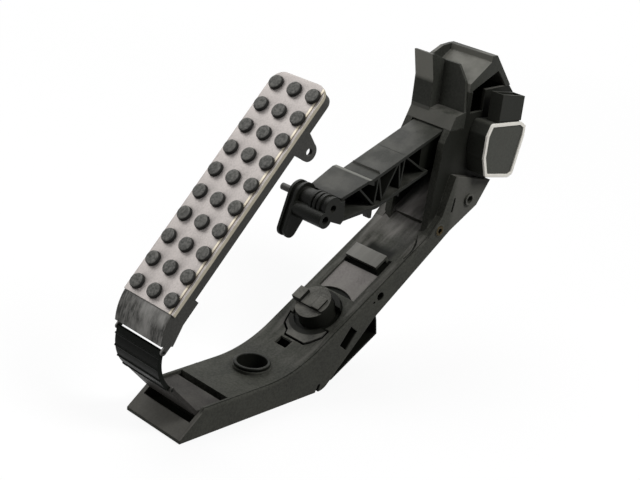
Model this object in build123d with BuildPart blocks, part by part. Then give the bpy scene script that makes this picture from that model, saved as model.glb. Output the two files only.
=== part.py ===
"""Floor-hinged electronic accelerator pedal module.

The tread stands on a hinged strap at the heel of a ribbed base. A lever pivots in the
tower at the far end of the base and turns the position sensor on the tower's right side.
The origin is the front fixing hole at floor level, +Y points to the tower and +Z is up.
Runs are measured along the floor from the heel edge and heights up from the floor.
"""

import os
from math import cos, pi, radians, sin, tan

from build123d import *

os.makedirs("parts", exist_ok=True)

# Fits shared by the whole assembly
seat_gap = 0.2            # pieces that sit on or in one another
running_gap = 0.05        # radial gap of shafts and pins that turn
sliding_gap = 0.4         # gap round the kickdown cap and beside moving cheeks

# Base housing
fixing_from_heel = 90.4
base_half = 28.7
wall = 3.0
rib = 2.4
heel_edge = 2.5
heel_run = 21.8
deck_height = 20.5
deck_slope = 31.8
deck_bend = 108.4
deck_bend_radius = 100.0
deck_wall = 3.2
toe_run = 139.0
toe_radius = 12.0
deck_round = 2.4
knee_run = 187.0
knee_depth = 22.0
rail_depth = 14.0
throat_rise = 6.5
flange_corner_depth = 16.0
cross_rib_runs = (60.0, 116.0, 139.0, 196.0, 218.0, 240.0)
foot_half = 24.0
foot_toe_run = 152.0
foot_heel_run = 198.0
foot_heel_height = 29.0
foot_heel_rise = 12.5
foot_pocket = 20.0
foot_rim = 1.4

# Front fixing
bush_radius = 13.0
bush_rise = 5.2
bush_flange = 0.7
bush_flange_thick = 1.5
well_radius = 11.4
well_floor = 3.0
stud_hole_radius = 4.25
boss_wall = 3.2
collar_wall = 1.2
collar_rise = 2.4

# Holes in the right side wall
side_hole_run = 191.0
side_hole_drop = 7.8
side_hole_radius = 3.5
pip_radius = 1.2
pip_offset = 7.3
window_run = 160.5
window_drop = 16.0
window_length = 16.5
window_width = 9.5
window_lean = 52.0
side_bush_run = 251.0
side_bush_drop = 3.6
side_bush_radius = 4.0
side_bush_bore = 2.1
side_bush_proud = 0.6
side_boss_wall = 1.0
side_boss_depth = 0.8
side_boss_proud = 0.4
lock_hole_run = 281.0
lock_hole_drop = 1.5
lock_hole_radius = 3.2
lock_boss_wall = 1.6
lock_boss_depth = 0.4
lock_boss_proud = 2.0
slit_run = 263.5
slit_rise = 7.3
slit_length = 12.0
slit_width = 2.0
notch_run = 132.5
notch_width = 3.0
notch_height = 8.0

# Trough in the sloped deck, measured up the slope from the kickdown axis
trough_half = 18.5
trough_start = 22.0
trough_depth = 3.0
trough_cover_end = 51.5
trough_cover_thick = 1.4
ledge_gap = 3.2
ledge_length = 13.5
ledge_rise = 6.0
ledge_plate = 2.4
ledge_left = -18.5
ledge_right = 13.5
dish_end = 112.0
dish_half = 21.0
dish_depth = 4.0

# Kickdown switch
kick_run = 154.0
cap_radius = 14.5
cap_rise = 12.6
cap_skirt = 8.0
cap_wall = 2.0
cap_step = 1.8
cap_step_place = -5.0
pad_width = 8.4
pad_length = 11.0
pad_rise = 3.2
pad_overhang = 1.8
cup_wall = 2.2
cup_depth = 12.0
cup_floor = 2.0
cup_flange = 2.3
cup_flange_thick = 1.6
flange_sink = 3.8
clip_left = -2.5
clip_front = 9.5
clip_rise = 3.0
tongue_corners = ((-18, -11), (-15, -20), (-8.5, -24), (-7, -28), (12, -28), (15, -25), (20, -17), (20, -11))
tongue_inner = 18.3
tongue_gap = 1.7
tongue_sink = 0.8
tongue_rise = 0.6
moat_radius = 25.4
moat_width = 1.8
moat_start = -12.0
moat_sweep = 100.0
latch_width = 12.0
latch_length = 7.5
latch_gap = 1.8
latch_place = -3.0
kick_wire = 1.6
kick_coil_radius = 8.0
kick_turns = 4

# Strap between base and tread
upper_axis = (-16.5, 72.4)
lower_axis = (-6.6, 41.2)
strap_bulge = (-17.4, 60.0)
strap_half = 22.9
strap_thick = 3.2
strap_overrun = 0.5
strap_rib_count = 4
strap_rib_width = 1.6
trunnion_radius = 1.2
ear_radius = 2.3
ear_thick = 1.4
foot_angle = -44.0
slit = 2.0
foot_sink = 3.4
foot_sheet = 3.4
foot_bend_run = 16.5
foot_end_run = 40.0
slot_start = 11.0
slot_end = 45.0
slot_side = 2.0
seat_height = 6.0
spigot_run = 24.0
spigot_length = 14.0
spigot_half = 20.0

# Tread
tread_angle = 48.13
tread_ahead_of_axis = 113.9
tread_above_axis = 15.5
tread_half = 25.5
tread_low = -91.5
tread_high = 93.3
tread_corner = 10.0
sheet = 1.0
sheet_top = -1.2
sheet_rim = 3.0
mat_thick = 1.5
stud_radius = 5.35
stud_top = 1.9
stud_round = 0.9
stud_hole_gap = 0.1
stud_columns = 3
stud_rows = 10
stud_pitch_across = 18.0
stud_pitch_along = 18.5
carrier_wall = 2.4
carrier_depth = -12.0
carrier_step = -74.0
carrier_step_depth = -16.0
nose_front = (-112.0, -10.2)
nose_bulge = (-102.5, -4.2)
nose_back = (-107.0, -19.6)
carrier_rib_pitch = 24.0
carrier_rib_count = 7
lug_place = (53.0, -22.0)
lug_radius = 7.0
lug_thick = 2.6
lug_root = 10.0
lug_hole_radius = 2.75

# Lever, with places given back and up from the pivot
pivot_run = 296.0
pivot_height = 168.0
eye_offset = (-158.0, -26.5)
eye_low_offset = (-7.0, -7.7)
lever_half = 15.0
lever_end_half = 16.0
lever_lip_half = 18.6
lever_end_offset = (-149.0, -21.0)
lever_lip_offset = (-120.0, -11.0)
lever_knee_offset = (-107.0, -37.0)
lever_toe_offset = (-148.4, -40.6)
lever_throat_offset = (-53.0, -18.5)
lever_flange_end = -26.5
lever_zigzag = (
    (-129, -17),
    (-109, -34.5),
    (-107, -12),
    (-101, -32),
    (-86, -4),
    (-82, -27),
    (-80, -1),
    (-55, -17),
)
lever_step = 2.6
lever_slope = 20.5
lever_sheet = 2.6
lever_web = 2.4
lever_rib = 1.5
lever_rib_setback = 1.5
boom_half = 8.0
hub_radius = 13.0
hub_half = 9.0
eye_radius = 7.6
eye_ring_radius = 8.8
eye_ring_places = (1.0, 5.2, 9.4)
eye_ring_width = 2.6
eye_cheek_radius = 8.4
eye_low_radius = 6.2
eye_low_bore = 3.0
eye_right = 18.0
eye_left = -13.0
eye_cheek = 3.0
lever_tab_offset = (-119.0, -112.0)
lever_tab_drop = 6.5
lever_tab_width = 6.0
tail_left = -18.5
tail_width = 8.5
tail_tip_offset = (-12.0, -24.0)
tail_tip_radius = 6.0
tail_hub_radius = 10.6
tail_cheek = 2.3
tail_groove = 1.7
link_pin_radius = 2.7
link_pin_left = -35.0
link_pin_right = 6.0
shaft_radius = 5.0
shaft_end_gap = 0.6

# Tower, with places given back and up from the pivot
tower_half = 22.2
tower_front_offset = (-50.0, -28.0)
tower_brow_offset = (-47.0, 6.0)
tower_rear = 32.0
tower_rise = 44.0
tower_rear_chamfer = 8.0
tower_throat = -44.0
tower_window_offset = (-21.0, 27.0)
tower_window_length = 15.5
jamb_width = 6.2
shoulder_offset = (-34.0, -20.0)
flange_offset = (10.0, -30.0)
flange_corner = -3.0
rail_end = -32.0
lip_offset = (-37.4, 26.2)
lip_lean = 25.3
lip_drop = 11.5
lip_thick = 5.0
lip_gap = 1.2
ledge_sheet = 2.6
cover_wall_back = -28.0
cover_wall = 2.5
cover_wall_rise = 63.5
cover_wall_flat = 10.3
cover_wall_shoulder = (18.5, 52.5)
bay_back = -38.4
bay_right = -4.0
bay_rise = 49.0
fin_back = -43.4
fin_rise = 69.0
cap_front_rise = 6.5
cap_ridge_back = -3.0
cap_ridge_rise = 21.5
cap_top_back = 3.0
cap_top_rise = 26.0
cap_rear = 25.0
cap_sheet = 2.5
cap_crown_back = -13.0
cap_crown_drop = 1.0
cap_gap_back = 7.0
cap_gap_rise = 13.5
cap_gap_rear = 6.0
buffer_half = 6.0
buffer_length = 4.5

# Return springs and shaft bushes
spring_wire = 2.0
spring_radius = 9.5
spring_pitch = 2.7
spring_turns = 2
coil_sides = 18
bearing_wall = 2.0

# Position sensor on the tower's right side, as offsets from the pivot
sensor_corners = (
    (-13, -20.5),
    (-18.5, -5),
    (-18.5, 13),
    (-14, 22.5),
    (23, 19.5),
    (29.5, 15.5),
    (29.5, 7),
    (22, -23.5),
    (16.5, -25.5),
)
sensor_corner_radius = 3.0
sensor_depth = 15.8
sensor_wall = 2.4
rotor_hole_gap = 1.0
rotor_radius = 10.0
rotor_thick = 4.0
magnet_radius = 7.5
magnet_thick = 1.6
board_thick = 1.6
seal_width = 2.6
seal_thick = 1.6
cover_thick = 1.8
shroud_front = -6.5
shroud_rear = 21.8
shroud_low = 16.0
shroud_front_top = 45.0
shroud_rear_top = 40.4
shroud_thick = 11.5
shroud_wall = 1.6
shroud_floor = 27.0
terminal_count = 6
terminal_width = 1.5
terminal_thick = 0.7
terminal_height = 8.0


def side(x):
    """Plane across the part at x, drawn in runs from the heel and heights."""
    return Plane(origin=(x, -fixing_from_heel, 0), x_dir=(0, 1, 0), z_dir=(1, 0, 0))


def deck_at(run):
    """Height of the sloped deck at a run."""
    return deck_height + (run - deck_bend) * tan(radians(deck_slope))


def from_pivot(offset):
    """Run and height of a place given back and up from the pivot."""
    return (pivot_run + offset[0], pivot_height + offset[1])


def lever_top_at(run):
    """Height of the lever's upper flange at a run."""
    return upper_start[1] + (run - upper_start[0]) * tan(radians(lever_slope))


def coil(centre, direction, start, radius, pitch, turns):
    """Points along a coil spring's wire."""
    frame = Plane(origin=centre, x_dir=start, z_dir=direction)
    steps = [number / coil_sides for number in range(int(turns * coil_sides) + 1)]
    return [
        frame.from_local_coords((radius * cos(2 * pi * turn), radius * sin(2 * pi * turn), pitch * turn))
        for turn in steps
    ]


def ahead(start, angle, distance):
    """Point at a distance from start, at an angle above the floor."""
    return (start[0] + distance * cos(radians(angle)), start[1] + distance * sin(radians(angle)))


slope_angle = radians(deck_slope)
deck = Plane(
    origin=(0, kick_run - fixing_from_heel, deck_at(kick_run)),
    x_dir=(1, 0, 0),
    z_dir=(0, -sin(slope_angle), cos(slope_angle)),
)
tread_rise = radians(tread_angle)
tread_normal = tread_angle + 90
tread_centre = ahead(ahead(upper_axis, tread_angle, tread_ahead_of_axis), tread_normal, tread_above_axis)
tread = Plane(
    origin=(0, tread_centre[0] - fixing_from_heel, tread_centre[1]),
    x_dir=(1, 0, 0),
    z_dir=(0, -sin(tread_rise), cos(tread_rise)),
)
tread_side = Plane(origin=tread.origin, x_dir=tread.y_dir, z_dir=(1, 0, 0))
pivot = (pivot_run, pivot_height)
eye = from_pivot(eye_offset)
eye_low = (eye[0] + eye_low_offset[0], eye[1] + eye_low_offset[1])
lever_lip = from_pivot(lever_lip_offset)
upper_start = (lever_lip[0] + lever_step, lever_lip[1] - lever_step)
tower_top = pivot_height + tower_rise
flange = from_pivot(flange_offset)
flange_corner_run = pivot_run + flange_corner
throat_run = pivot_run + tower_throat
rail_run = pivot_run + rail_end


# Base housing: one ribbed moulding, open underneath
base_corners = (
    (0, 0),
    (toe_run, 0),
    (knee_run, deck_at(knee_run) - knee_depth),
    (rail_run, deck_at(rail_run) - rail_depth),
    (flange_corner_run, deck_at(flange_corner_run) - flange_corner_depth),
    flange,
    from_pivot(shoulder_offset),
    (throat_run, deck_at(throat_run) + throat_rise),
    (throat_run - wall * 4, deck_at(throat_run - wall * 4)),
    (deck_bend, deck_height),
    (heel_run, deck_height),
    (0, heel_edge),
)
base_radii = (0, toe_radius, 0, 0, 0, 0, 0, 0, 0, deck_bend_radius, 0, 0)
with BuildSketch() as base_outline:
    with BuildLine():
        FilletPolyline(*base_corners, radius=base_radii, close=True)
    make_face()

with BuildPart() as base_ribs:
    with BuildSketch(side(0)):
        add(base_outline.sketch_local)
    extrude(amount=base_half - wall / 2, both=True)
    with BuildSketch(Plane.XY):
        with Locations(*[(0, run - fixing_from_heel) for run in cross_rib_runs]):
            Rectangle(2 * base_half, rib)
        with Locations((0, (slot_end + flange[0]) / 2 - fixing_from_heel)):
            Rectangle(rib, flange[0] - slot_end)
    extrude(amount=tower_top, mode=Mode.INTERSECT)

with BuildSketch() as foot_outline:
    Polygon(
        (toe_run, rib),
        (foot_toe_run, rib),
        (foot_heel_run, foot_heel_height),
        (foot_heel_run - rib, foot_heel_height + foot_heel_rise),
        (knee_run, deck_at(knee_run) - deck_wall),
        (foot_toe_run, deck_at(foot_toe_run) - cup_depth - cup_floor - deck_wall),
        align=None,
    )
with BuildPart() as base_foot:
    with BuildSketch(side(0)):
        add(foot_outline.sketch_local)
    extrude(amount=foot_half, both=True)
    for flip in (1, -1):
        with BuildSketch(side(flip * foot_half)):
            add(foot_outline.sketch_local)
            offset(amount=-foot_rim, kind=Kind.INTERSECTION)
        extrude(amount=-flip * foot_pocket, mode=Mode.SUBTRACT)

lip = from_pivot(lip_offset)
lip_low = ahead(lip, 270 - lip_lean, lip_drop)
cover_wall_run = pivot_run + cover_wall_back
wall_step_run = cover_wall_run + cover_wall + seat_gap
tower_floor_run = throat_run - wall * 3
tower_rear_run = pivot_run + tower_rear
tower_front = from_pivot(tower_front_offset)
tower_brow = from_pivot(tower_brow_offset)
tower_corners = (
    (tower_floor_run, deck_at(tower_floor_run) - deck_wall),
    tower_front,
    tower_brow,
    lip_low,
    (wall_step_run, lip_low[1]),
    (wall_step_run, tower_top),
    (tower_rear_run - tower_rear_chamfer, tower_top),
    (tower_rear_run, tower_top - tower_rear_chamfer),
    (tower_rear_run, flange[1] + 2 * deck_wall),
    (flange[0], flange[1] - deck_wall / 2),
    (flange_corner_run, deck_at(flange_corner_run) - deck_wall),
)
tower_space = (
    (tower_floor_run - wall * 2, deck_at(tower_floor_run - wall * 2)),
    (flange_corner_run, deck_at(flange_corner_run)),
    (flange[0], flange[1] + deck_wall),
    (tower_rear_run - wall, flange[1] + 4 * deck_wall),
    (tower_rear_run - wall, tower_top - tower_rear_chamfer - wall),
    (tower_rear_run - tower_rear_chamfer - wall, tower_top + wall),
    (tower_floor_run - wall * 2, tower_top + wall),
)
jamb_corners = (
    (tower_floor_run, deck_at(tower_floor_run) - deck_wall),
    tower_front,
    tower_brow,
    lip_low,
    (lip_low[0] + wall, lip_low[1]),
    (tower_brow[0] + wall, tower_brow[1]),
    (tower_front[0] + wall, tower_front[1]),
    (tower_floor_run + wall, deck_at(tower_floor_run) - deck_wall),
)
tower_window = from_pivot(tower_window_offset)
slot_half = strap_half + slot_side
cup_radius = cap_radius + sliding_gap + cup_wall
flange_radius = cup_radius + cup_flange
kick_hole = cup_radius + seat_gap
dish_radius = (dish_half**2 + dish_depth**2) / (2 * dish_depth)
dish_start = trough_cover_end + ledge_gap + ledge_length
dish_plane = Plane(origin=deck.origin, x_dir=(1, 0, 0), z_dir=-deck.y_dir).offset(-dish_end)
with BuildSketch() as dish_outline:
    with Locations((0, dish_radius - dish_depth)):
        Circle(dish_radius)
    Rectangle(2 * dish_half, 2 * dish_depth, mode=Mode.INTERSECT)
with BuildPart() as base_housing:
    # Outer form with rounded deck edges, hollowed from below
    with BuildSketch(side(0)):
        add(base_outline.sketch_local)
    extrude(amount=base_half, both=True)
    deck_edges = [
        edge
        for edge in base_housing.edges().filter_by(Axis.X, reverse=True)
        if (edge @ 0.5).Z > max(deck_height, deck_at((edge @ 0.5).Y + fixing_from_heel)) - wall
        and heel_run < (edge @ 0.5).Y + fixing_from_heel < throat_run - wall * 5
    ]
    fillet(deck_edges, deck_round)
    with BuildSketch(side(0)):
        with Locations((0, -deck_wall)):
            add(base_outline.sketch_local)
    extrude(amount=base_half - wall, both=True, mode=Mode.SUBTRACT)
    add(base_ribs.part)
    add(base_foot.part)
    # Trough floor and the dished run up to the tower
    with BuildSketch(deck.offset(-trough_depth - deck_wall)):
        with Locations((0, trough_start)):
            Rectangle(2 * (dish_half + rib), dish_end + wall - trough_start, align=(Align.CENTER, Align.MIN))
    extrude(amount=trough_depth + deck_wall / 2)
    with BuildSketch(deck.offset(-trough_depth)):
        with Locations((0, trough_start)):
            Rectangle(2 * trough_half, dish_start - trough_start, align=(Align.CENTER, Align.MIN))
    extrude(amount=trough_depth + wall, mode=Mode.SUBTRACT)
    with BuildSketch(dish_plane):
        add(dish_outline.sketch_local)
    extrude(amount=dish_end - dish_start, mode=Mode.SUBTRACT)
    # Tower with its front jambs and the window under the cap
    with BuildSketch(side(0)):
        Polygon(*tower_corners, align=None)
    extrude(amount=tower_half, both=True)
    with BuildSketch(side(0)):
        Polygon(*tower_space, align=None)
    extrude(amount=tower_half - wall, both=True, mode=Mode.SUBTRACT)
    for flip in (1, -1):
        with BuildSketch(side(flip * tower_half)):
            Polygon(*jamb_corners, align=None)
        extrude(amount=-flip * jamb_width)
    with BuildSketch(dish_plane):
        add(dish_outline.sketch_local)
        Rectangle(2 * (tower_half - jamb_width), 2 * dish_depth, mode=Mode.INTERSECT)
    extrude(amount=dish_end - dish_start, mode=Mode.SUBTRACT)
    with BuildSketch(side(tower_half - wall)):
        with Locations(tower_window):
            Rectangle(tower_window_length, tower_rise - tower_window_offset[1], align=(Align.MIN, Align.MIN))
    extrude(amount=wall, mode=Mode.SUBTRACT)
    # Seat plate under the hinge foot and the slot over it
    with BuildSketch(side(0)):
        Polygon(
            (slot_start - wall, seat_height - wall),
            (slot_end + wall, seat_height - wall),
            (slot_end + wall, deck_height - wall / 2),
            (slot_end, deck_height - wall / 2),
            (slot_end, seat_height),
            (slot_start - wall, seat_height),
            align=None,
        )
    extrude(amount=base_half - wall / 2, both=True)
    with BuildSketch(side(0)):
        Polygon(
            (slot_start, seat_height),
            (slot_end, seat_height),
            (slot_end, deck_height + wall),
            (slot_start, deck_height + wall),
            align=None,
        )
    extrude(amount=slot_half, both=True, mode=Mode.SUBTRACT)
    # Boss and hole of the front fixing
    with BuildSketch(Plane.XY):
        Circle(bush_radius + seat_gap / 4 + boss_wall)
    extrude(amount=deck_height - deck_wall / 2)
    with BuildSketch(Plane.XY.offset(deck_height - deck_wall)):
        Circle(bush_radius + collar_wall)
    extrude(amount=deck_wall + collar_rise)
    with BuildSketch(Plane.XY):
        Circle(bush_radius + seat_gap / 4)
    extrude(amount=deck_height + bush_rise, mode=Mode.SUBTRACT)
    # Ledge that holds the trough cover and the slot in front of it
    with BuildSketch(deck.offset(-trough_depth - deck_wall / 2)):
        with Locations((ledge_left, trough_cover_end)):
            Rectangle(ledge_right - ledge_left, ledge_gap, align=(Align.MIN, Align.MIN))
    extrude(amount=deck_wall + wall, mode=Mode.SUBTRACT)
    with BuildSketch(deck.offset(-trough_depth - rib)):
        with Locations((ledge_left, trough_cover_end + ledge_gap)):
            Rectangle(ledge_right - ledge_left, ledge_length, align=(Align.MIN, Align.MIN))
    extrude(amount=ledge_rise + rib)
    with BuildSketch(deck.offset(-trough_depth)):
        with Locations((ledge_left + rib, trough_cover_end + ledge_gap)):
            Rectangle(ledge_right - ledge_left, ledge_length - rib, align=(Align.MIN, Align.MIN))
    extrude(amount=ledge_rise - ledge_plate, mode=Mode.SUBTRACT)
    # Kickdown socket, the moat round its plate and the latch window in front of it
    with BuildSketch(deck.offset(-flange_sink - deck_wall)):
        Circle(flange_radius + wall)
    extrude(amount=flange_sink + deck_wall / 2)
    with BuildSketch(deck.offset(-flange_sink)):
        Circle(flange_radius + seat_gap)
    extrude(amount=flange_sink + wall, mode=Mode.SUBTRACT)
    with BuildSketch(deck.offset(-cup_depth - cup_floor - seat_gap)):
        Circle(kick_hole)
    extrude(amount=cup_depth + cup_floor + wall, mode=Mode.SUBTRACT)
    with BuildSketch(deck.offset(-deck_wall - wall)):
        Polygon(*tongue_corners, align=None)
        offset(amount=tongue_gap, kind=Kind.INTERSECTION)
    extrude(amount=deck_wall + 2 * wall, mode=Mode.SUBTRACT)
    with BuildSketch(deck.offset(-deck_wall / 2)):
        SlotArc(CenterArc((0, 0), moat_radius, moat_start, moat_sweep), moat_width)
    extrude(amount=deck_wall, mode=Mode.SUBTRACT)
    tongue_front = min(y for x, y in tongue_corners)
    with BuildSketch(deck.offset(-deck_wall - wall)):
        with Locations((latch_place, tongue_front - tongue_gap - latch_gap - latch_length / 2)):
            Rectangle(latch_width, latch_length)
    extrude(amount=deck_wall + 2 * wall, mode=Mode.SUBTRACT)
    # Holes and bosses of the right side wall
    with BuildSketch(side(base_half - wall - lock_boss_depth)):
        with Locations((lock_hole_run, deck_at(lock_hole_run) - lock_hole_drop)):
            Circle(lock_hole_radius + lock_boss_wall)
    extrude(amount=lock_boss_depth + wall + lock_boss_proud)
    with BuildSketch(side(base_half - wall - side_boss_depth)):
        with Locations((side_bush_run, deck_at(side_bush_run) - side_bush_drop)):
            Circle(side_bush_radius + side_boss_wall)
    extrude(amount=side_boss_depth + wall + side_boss_proud)
    side_hole_height = deck_at(side_hole_run) - side_hole_drop
    pip_place = ahead((side_hole_run, side_hole_height), deck_slope + 180, pip_offset)
    with BuildSketch(side(base_half - wall - rib / 2)):
        with Locations((side_hole_run, side_hole_height)):
            Circle(side_hole_radius)
        with Locations(pip_place):
            Circle(pip_radius)
        with Locations((window_run, deck_at(window_run) - window_drop)):
            Rectangle(window_length, window_width, rotation=window_lean)
        with Locations((side_bush_run, deck_at(side_bush_run) - side_bush_drop)):
            Circle(side_bush_radius + seat_gap / 4)
        with Locations((lock_hole_run, deck_at(lock_hole_run) - lock_hole_drop)):
            Circle(lock_hole_radius)
        with Locations((slit_run, deck_at(slit_run) + slit_rise)):
            SlotOverall(slit_length, slit_width, rotation=80)
    extrude(amount=wall * 4, mode=Mode.SUBTRACT)
    with BuildSketch(side(base_half - wall)):
        with Locations((notch_run, notch_height / 2 - notch_width)):
            SlotOverall(notch_height + notch_width, notch_width, rotation=70)
    extrude(amount=wall, mode=Mode.SUBTRACT)
    # Bearing holes through the tower walls
    with BuildSketch(side(0)):
        with Locations(pivot):
            Circle(shaft_radius + running_gap + bearing_wall + seat_gap / 4)
    extrude(amount=tower_half + wall, both=True, mode=Mode.SUBTRACT)
base_housing.part.label = "base_housing"
export_step(base_housing.part, "parts/base_housing.step")


# Front fixing bush: a deep well with the stud hole in its floor
with BuildPart() as fixing_bush:
    with BuildSketch(Plane.XY):
        Circle(bush_radius)
    extrude(amount=deck_height + bush_rise)
    with BuildSketch(Plane.XY.offset(deck_height + bush_rise - bush_flange_thick)):
        Circle(bush_radius + bush_flange)
    extrude(amount=bush_flange_thick)
    with BuildSketch(Plane.XY.offset(well_floor)):
        Circle(well_radius)
    extrude(amount=deck_height + bush_rise, mode=Mode.SUBTRACT)
    with BuildSketch(Plane.XY):
        Circle(stud_hole_radius)
    extrude(amount=well_floor, mode=Mode.SUBTRACT)
    rim_edges = fixing_bush.edges().filter_by(GeomType.CIRCLE).group_by(Axis.Z)[-1]
    chamfer(rim_edges, (bush_radius - well_radius) / 4)
fixing_bush.part.label = "fixing_bush"
export_step(fixing_bush.part, "parts/fixing_bush.step")


# Brass bush in the right side wall
with BuildPart() as side_bush:
    with BuildSketch(side(base_half - wall - side_boss_depth)):
        with Locations((side_bush_run, deck_at(side_bush_run) - side_bush_drop)):
            Circle(side_bush_radius)
            Circle(side_bush_bore, mode=Mode.SUBTRACT)
    extrude(amount=side_boss_depth + wall + side_bush_proud)
side_bush.part.label = "side_bush"
export_step(side_bush.part, "parts/side_bush.step")


# Cover plate that slides into the trough below the ledge
with BuildPart() as trough_cover:
    with BuildSketch(deck.offset(seat_gap / 2 - trough_depth)):
        with Locations((0, (trough_start + trough_cover_end) / 2)):
            Rectangle(2 * (trough_half - sliding_gap), trough_cover_end - trough_start - 2 * sliding_gap)
        Circle(moat_radius + moat_width, mode=Mode.SUBTRACT)
    extrude(amount=trough_cover_thick)
trough_cover.part.label = "trough_cover"
export_step(trough_cover.part, "parts/trough_cover.step")


# Kickdown cup: flange in the deck's well, front tongue at deck level and a rear clip
flange_base = seat_gap - flange_sink
with BuildPart() as kickdown_body:
    with BuildSketch(deck.offset(flange_base)):
        Circle(flange_radius)
    extrude(amount=cup_flange_thick)
    with BuildSketch(deck.offset(-tongue_sink)):
        Polygon(*tongue_corners, align=None)
        Circle(tongue_inner, mode=Mode.SUBTRACT)
    extrude(amount=tongue_sink + tongue_rise)
    with BuildSketch(deck.offset(flange_base + cup_flange_thick / 2)):
        Polygon(*tongue_corners, align=None)
        Circle(flange_radius, mode=Mode.INTERSECT)
        Circle(tongue_inner, mode=Mode.SUBTRACT)
    extrude(amount=flange_sink - seat_gap - cup_flange_thick / 2)
    with BuildSketch(deck.offset(flange_base + cup_flange_thick / 2)):
        Circle(flange_radius - seat_gap)
        with Locations((clip_left, clip_front)):
            Rectangle(2 * flange_radius, 2 * flange_radius, align=(Align.MIN, Align.MIN), mode=Mode.INTERSECT)
    extrude(amount=flange_sink + clip_rise)
    with BuildSketch(deck.offset(-cup_depth - cup_floor)):
        Circle(cup_radius)
    extrude(amount=cup_depth + cup_floor + flange_base + cup_flange_thick / 2)
    with BuildSketch(deck.offset(-cup_depth)):
        Circle(cap_radius + sliding_gap)
    extrude(amount=cup_depth + clip_rise + wall, mode=Mode.SUBTRACT)
kickdown_body.part.label = "kickdown_body"
export_step(kickdown_body.part, "parts/kickdown_body.step")


# Kickdown cap: the lever's tail presses the pad on its left side
pad_left = -cap_radius - pad_overhang
cap_room = cap_rise - cap_step - cap_wall
with BuildPart() as kickdown_cap:
    with BuildSketch(deck.offset(-cap_skirt)):
        Circle(cap_radius)
    extrude(amount=cap_skirt + cap_rise)
    with BuildSketch(deck.offset(cap_rise - cap_step)):
        with Locations((0, cap_step_place - cap_radius)):
            Rectangle(2 * cap_radius, 2 * cap_radius)
    extrude(amount=cap_step, mode=Mode.SUBTRACT)
    with BuildSketch(deck.offset(cap_rise - cap_step)):
        with Locations((pad_left + pad_width / 2, pad_length / 2 + cap_step_place)):
            Rectangle(pad_width, pad_length)
    extrude(amount=cap_step + pad_rise)
    with BuildSketch(deck.offset(cap_rise - cap_step)):
        with Locations((cap_radius / 2, cap_step_place + pad_length / 2)):
            Rectangle(cap_radius / 2, pad_length)
    extrude(amount=cap_step + pad_rise / 2)
    with BuildSketch(deck.offset(-cap_skirt)):
        Circle(cap_radius - cap_wall)
    extrude(amount=cap_skirt + cap_room, mode=Mode.SUBTRACT)
kickdown_cap.part.label = "kickdown_cap"
export_step(kickdown_cap.part, "parts/kickdown_cap.step")


# Coil spring under the kickdown cap
coil_height = cup_depth + cap_room - kick_wire - 2 * seat_gap
with BuildPart() as kickdown_spring:
    coil_base = deck.offset(-cup_depth + kick_wire / 2 + seat_gap)
    with BuildLine():
        kick_pitch = coil_height / kick_turns
        Polyline(*coil(coil_base.origin, deck.z_dir, deck.x_dir, kick_coil_radius, kick_pitch, kick_turns))
    first_side = kickdown_spring.pending_edges[0]
    with BuildSketch(Plane(origin=first_side @ 0, z_dir=first_side % 0)):
        Rectangle(kick_wire, kick_wire)
    sweep(transition=Transition.RIGHT)
kickdown_spring.part.label = "kickdown_spring"
export_step(kickdown_spring.part, "parts/kickdown_spring.step")


# Strap with a trunnion at each corner, ribbed across its front
with BuildPart() as hinge_strap:
    with BuildSketch(side(0)):
        with BuildLine() as strap_line:
            strap_arc = ThreePointArc(upper_axis, strap_bulge, lower_axis)
            Line(strap_arc @ 0, strap_arc @ 0 - (strap_arc % 0) * strap_overrun)
            Line(strap_arc @ 1, strap_arc @ 1 + (strap_arc % 1) * strap_overrun)
        trace(line_width=strap_thick)
    extrude(amount=strap_half, both=True)
    with BuildSketch(side(0)):
        for number in range(strap_rib_count):
            front = strap_arc @ ((number + 0.5) / strap_rib_count)
            outward = strap_arc % ((number + 0.5) / strap_rib_count)
            with Locations((front.X - outward.Y * -strap_thick / 2, front.Y + outward.X * -strap_thick / 2)):
                Circle(strap_rib_width / 2)
    extrude(amount=strap_half, both=True)
    with BuildSketch(side(0)):
        with Locations(upper_axis, lower_axis):
            Circle(trunnion_radius)
    extrude(amount=strap_half + seat_gap + ear_thick, both=True)
hinge_strap.part.label = "hinge_strap"
export_step(hinge_strap.part, "parts/hinge_strap.step")


# Hinge foot: ears at the strap's lower axis, an inclined plate and the spigot in the base
foot_start = ahead(lower_axis, foot_angle, strap_overrun + slit)
ear_inner = strap_half + seat_gap
foot_height = deck_height - foot_sink
with BuildSketch() as foot_ear:
    with Locations(lower_axis):
        Circle(ear_radius)
    Polygon(
        ahead(lower_axis, foot_angle + 90, ear_radius),
        ahead(lower_axis, foot_angle - 90, ear_radius),
        ahead(foot_start, foot_angle - 90, foot_sheet / 2),
        ahead(foot_start, foot_angle + 90, foot_sheet / 2),
        align=None,
    )
    with Locations(lower_axis):
        Circle(trunnion_radius + running_gap, mode=Mode.SUBTRACT)
with BuildPart() as hinge_foot:
    with BuildSketch(side(0)):
        with BuildLine():
            Polyline(foot_start, (foot_bend_run, foot_height), (foot_end_run, foot_height))
        trace(line_width=foot_sheet)
    extrude(amount=ear_inner + ear_thick, both=True)
    with BuildSketch(side(0)):
        Polygon(
            (spigot_run, seat_height + seat_gap),
            (spigot_run + spigot_length, seat_height + seat_gap),
            (spigot_run + spigot_length, foot_height),
            (spigot_run, foot_height),
            align=None,
        )
    extrude(amount=spigot_half, both=True)
    with BuildSketch(side(ear_inner)):
        add(foot_ear.sketch_local)
    extrude(amount=ear_thick)
    with BuildSketch(side(-ear_inner)):
        add(foot_ear.sketch_local)
    extrude(amount=-ear_thick)
hinge_foot.part.label = "hinge_foot"
export_step(hinge_foot.part, "parts/hinge_foot.step")


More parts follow.
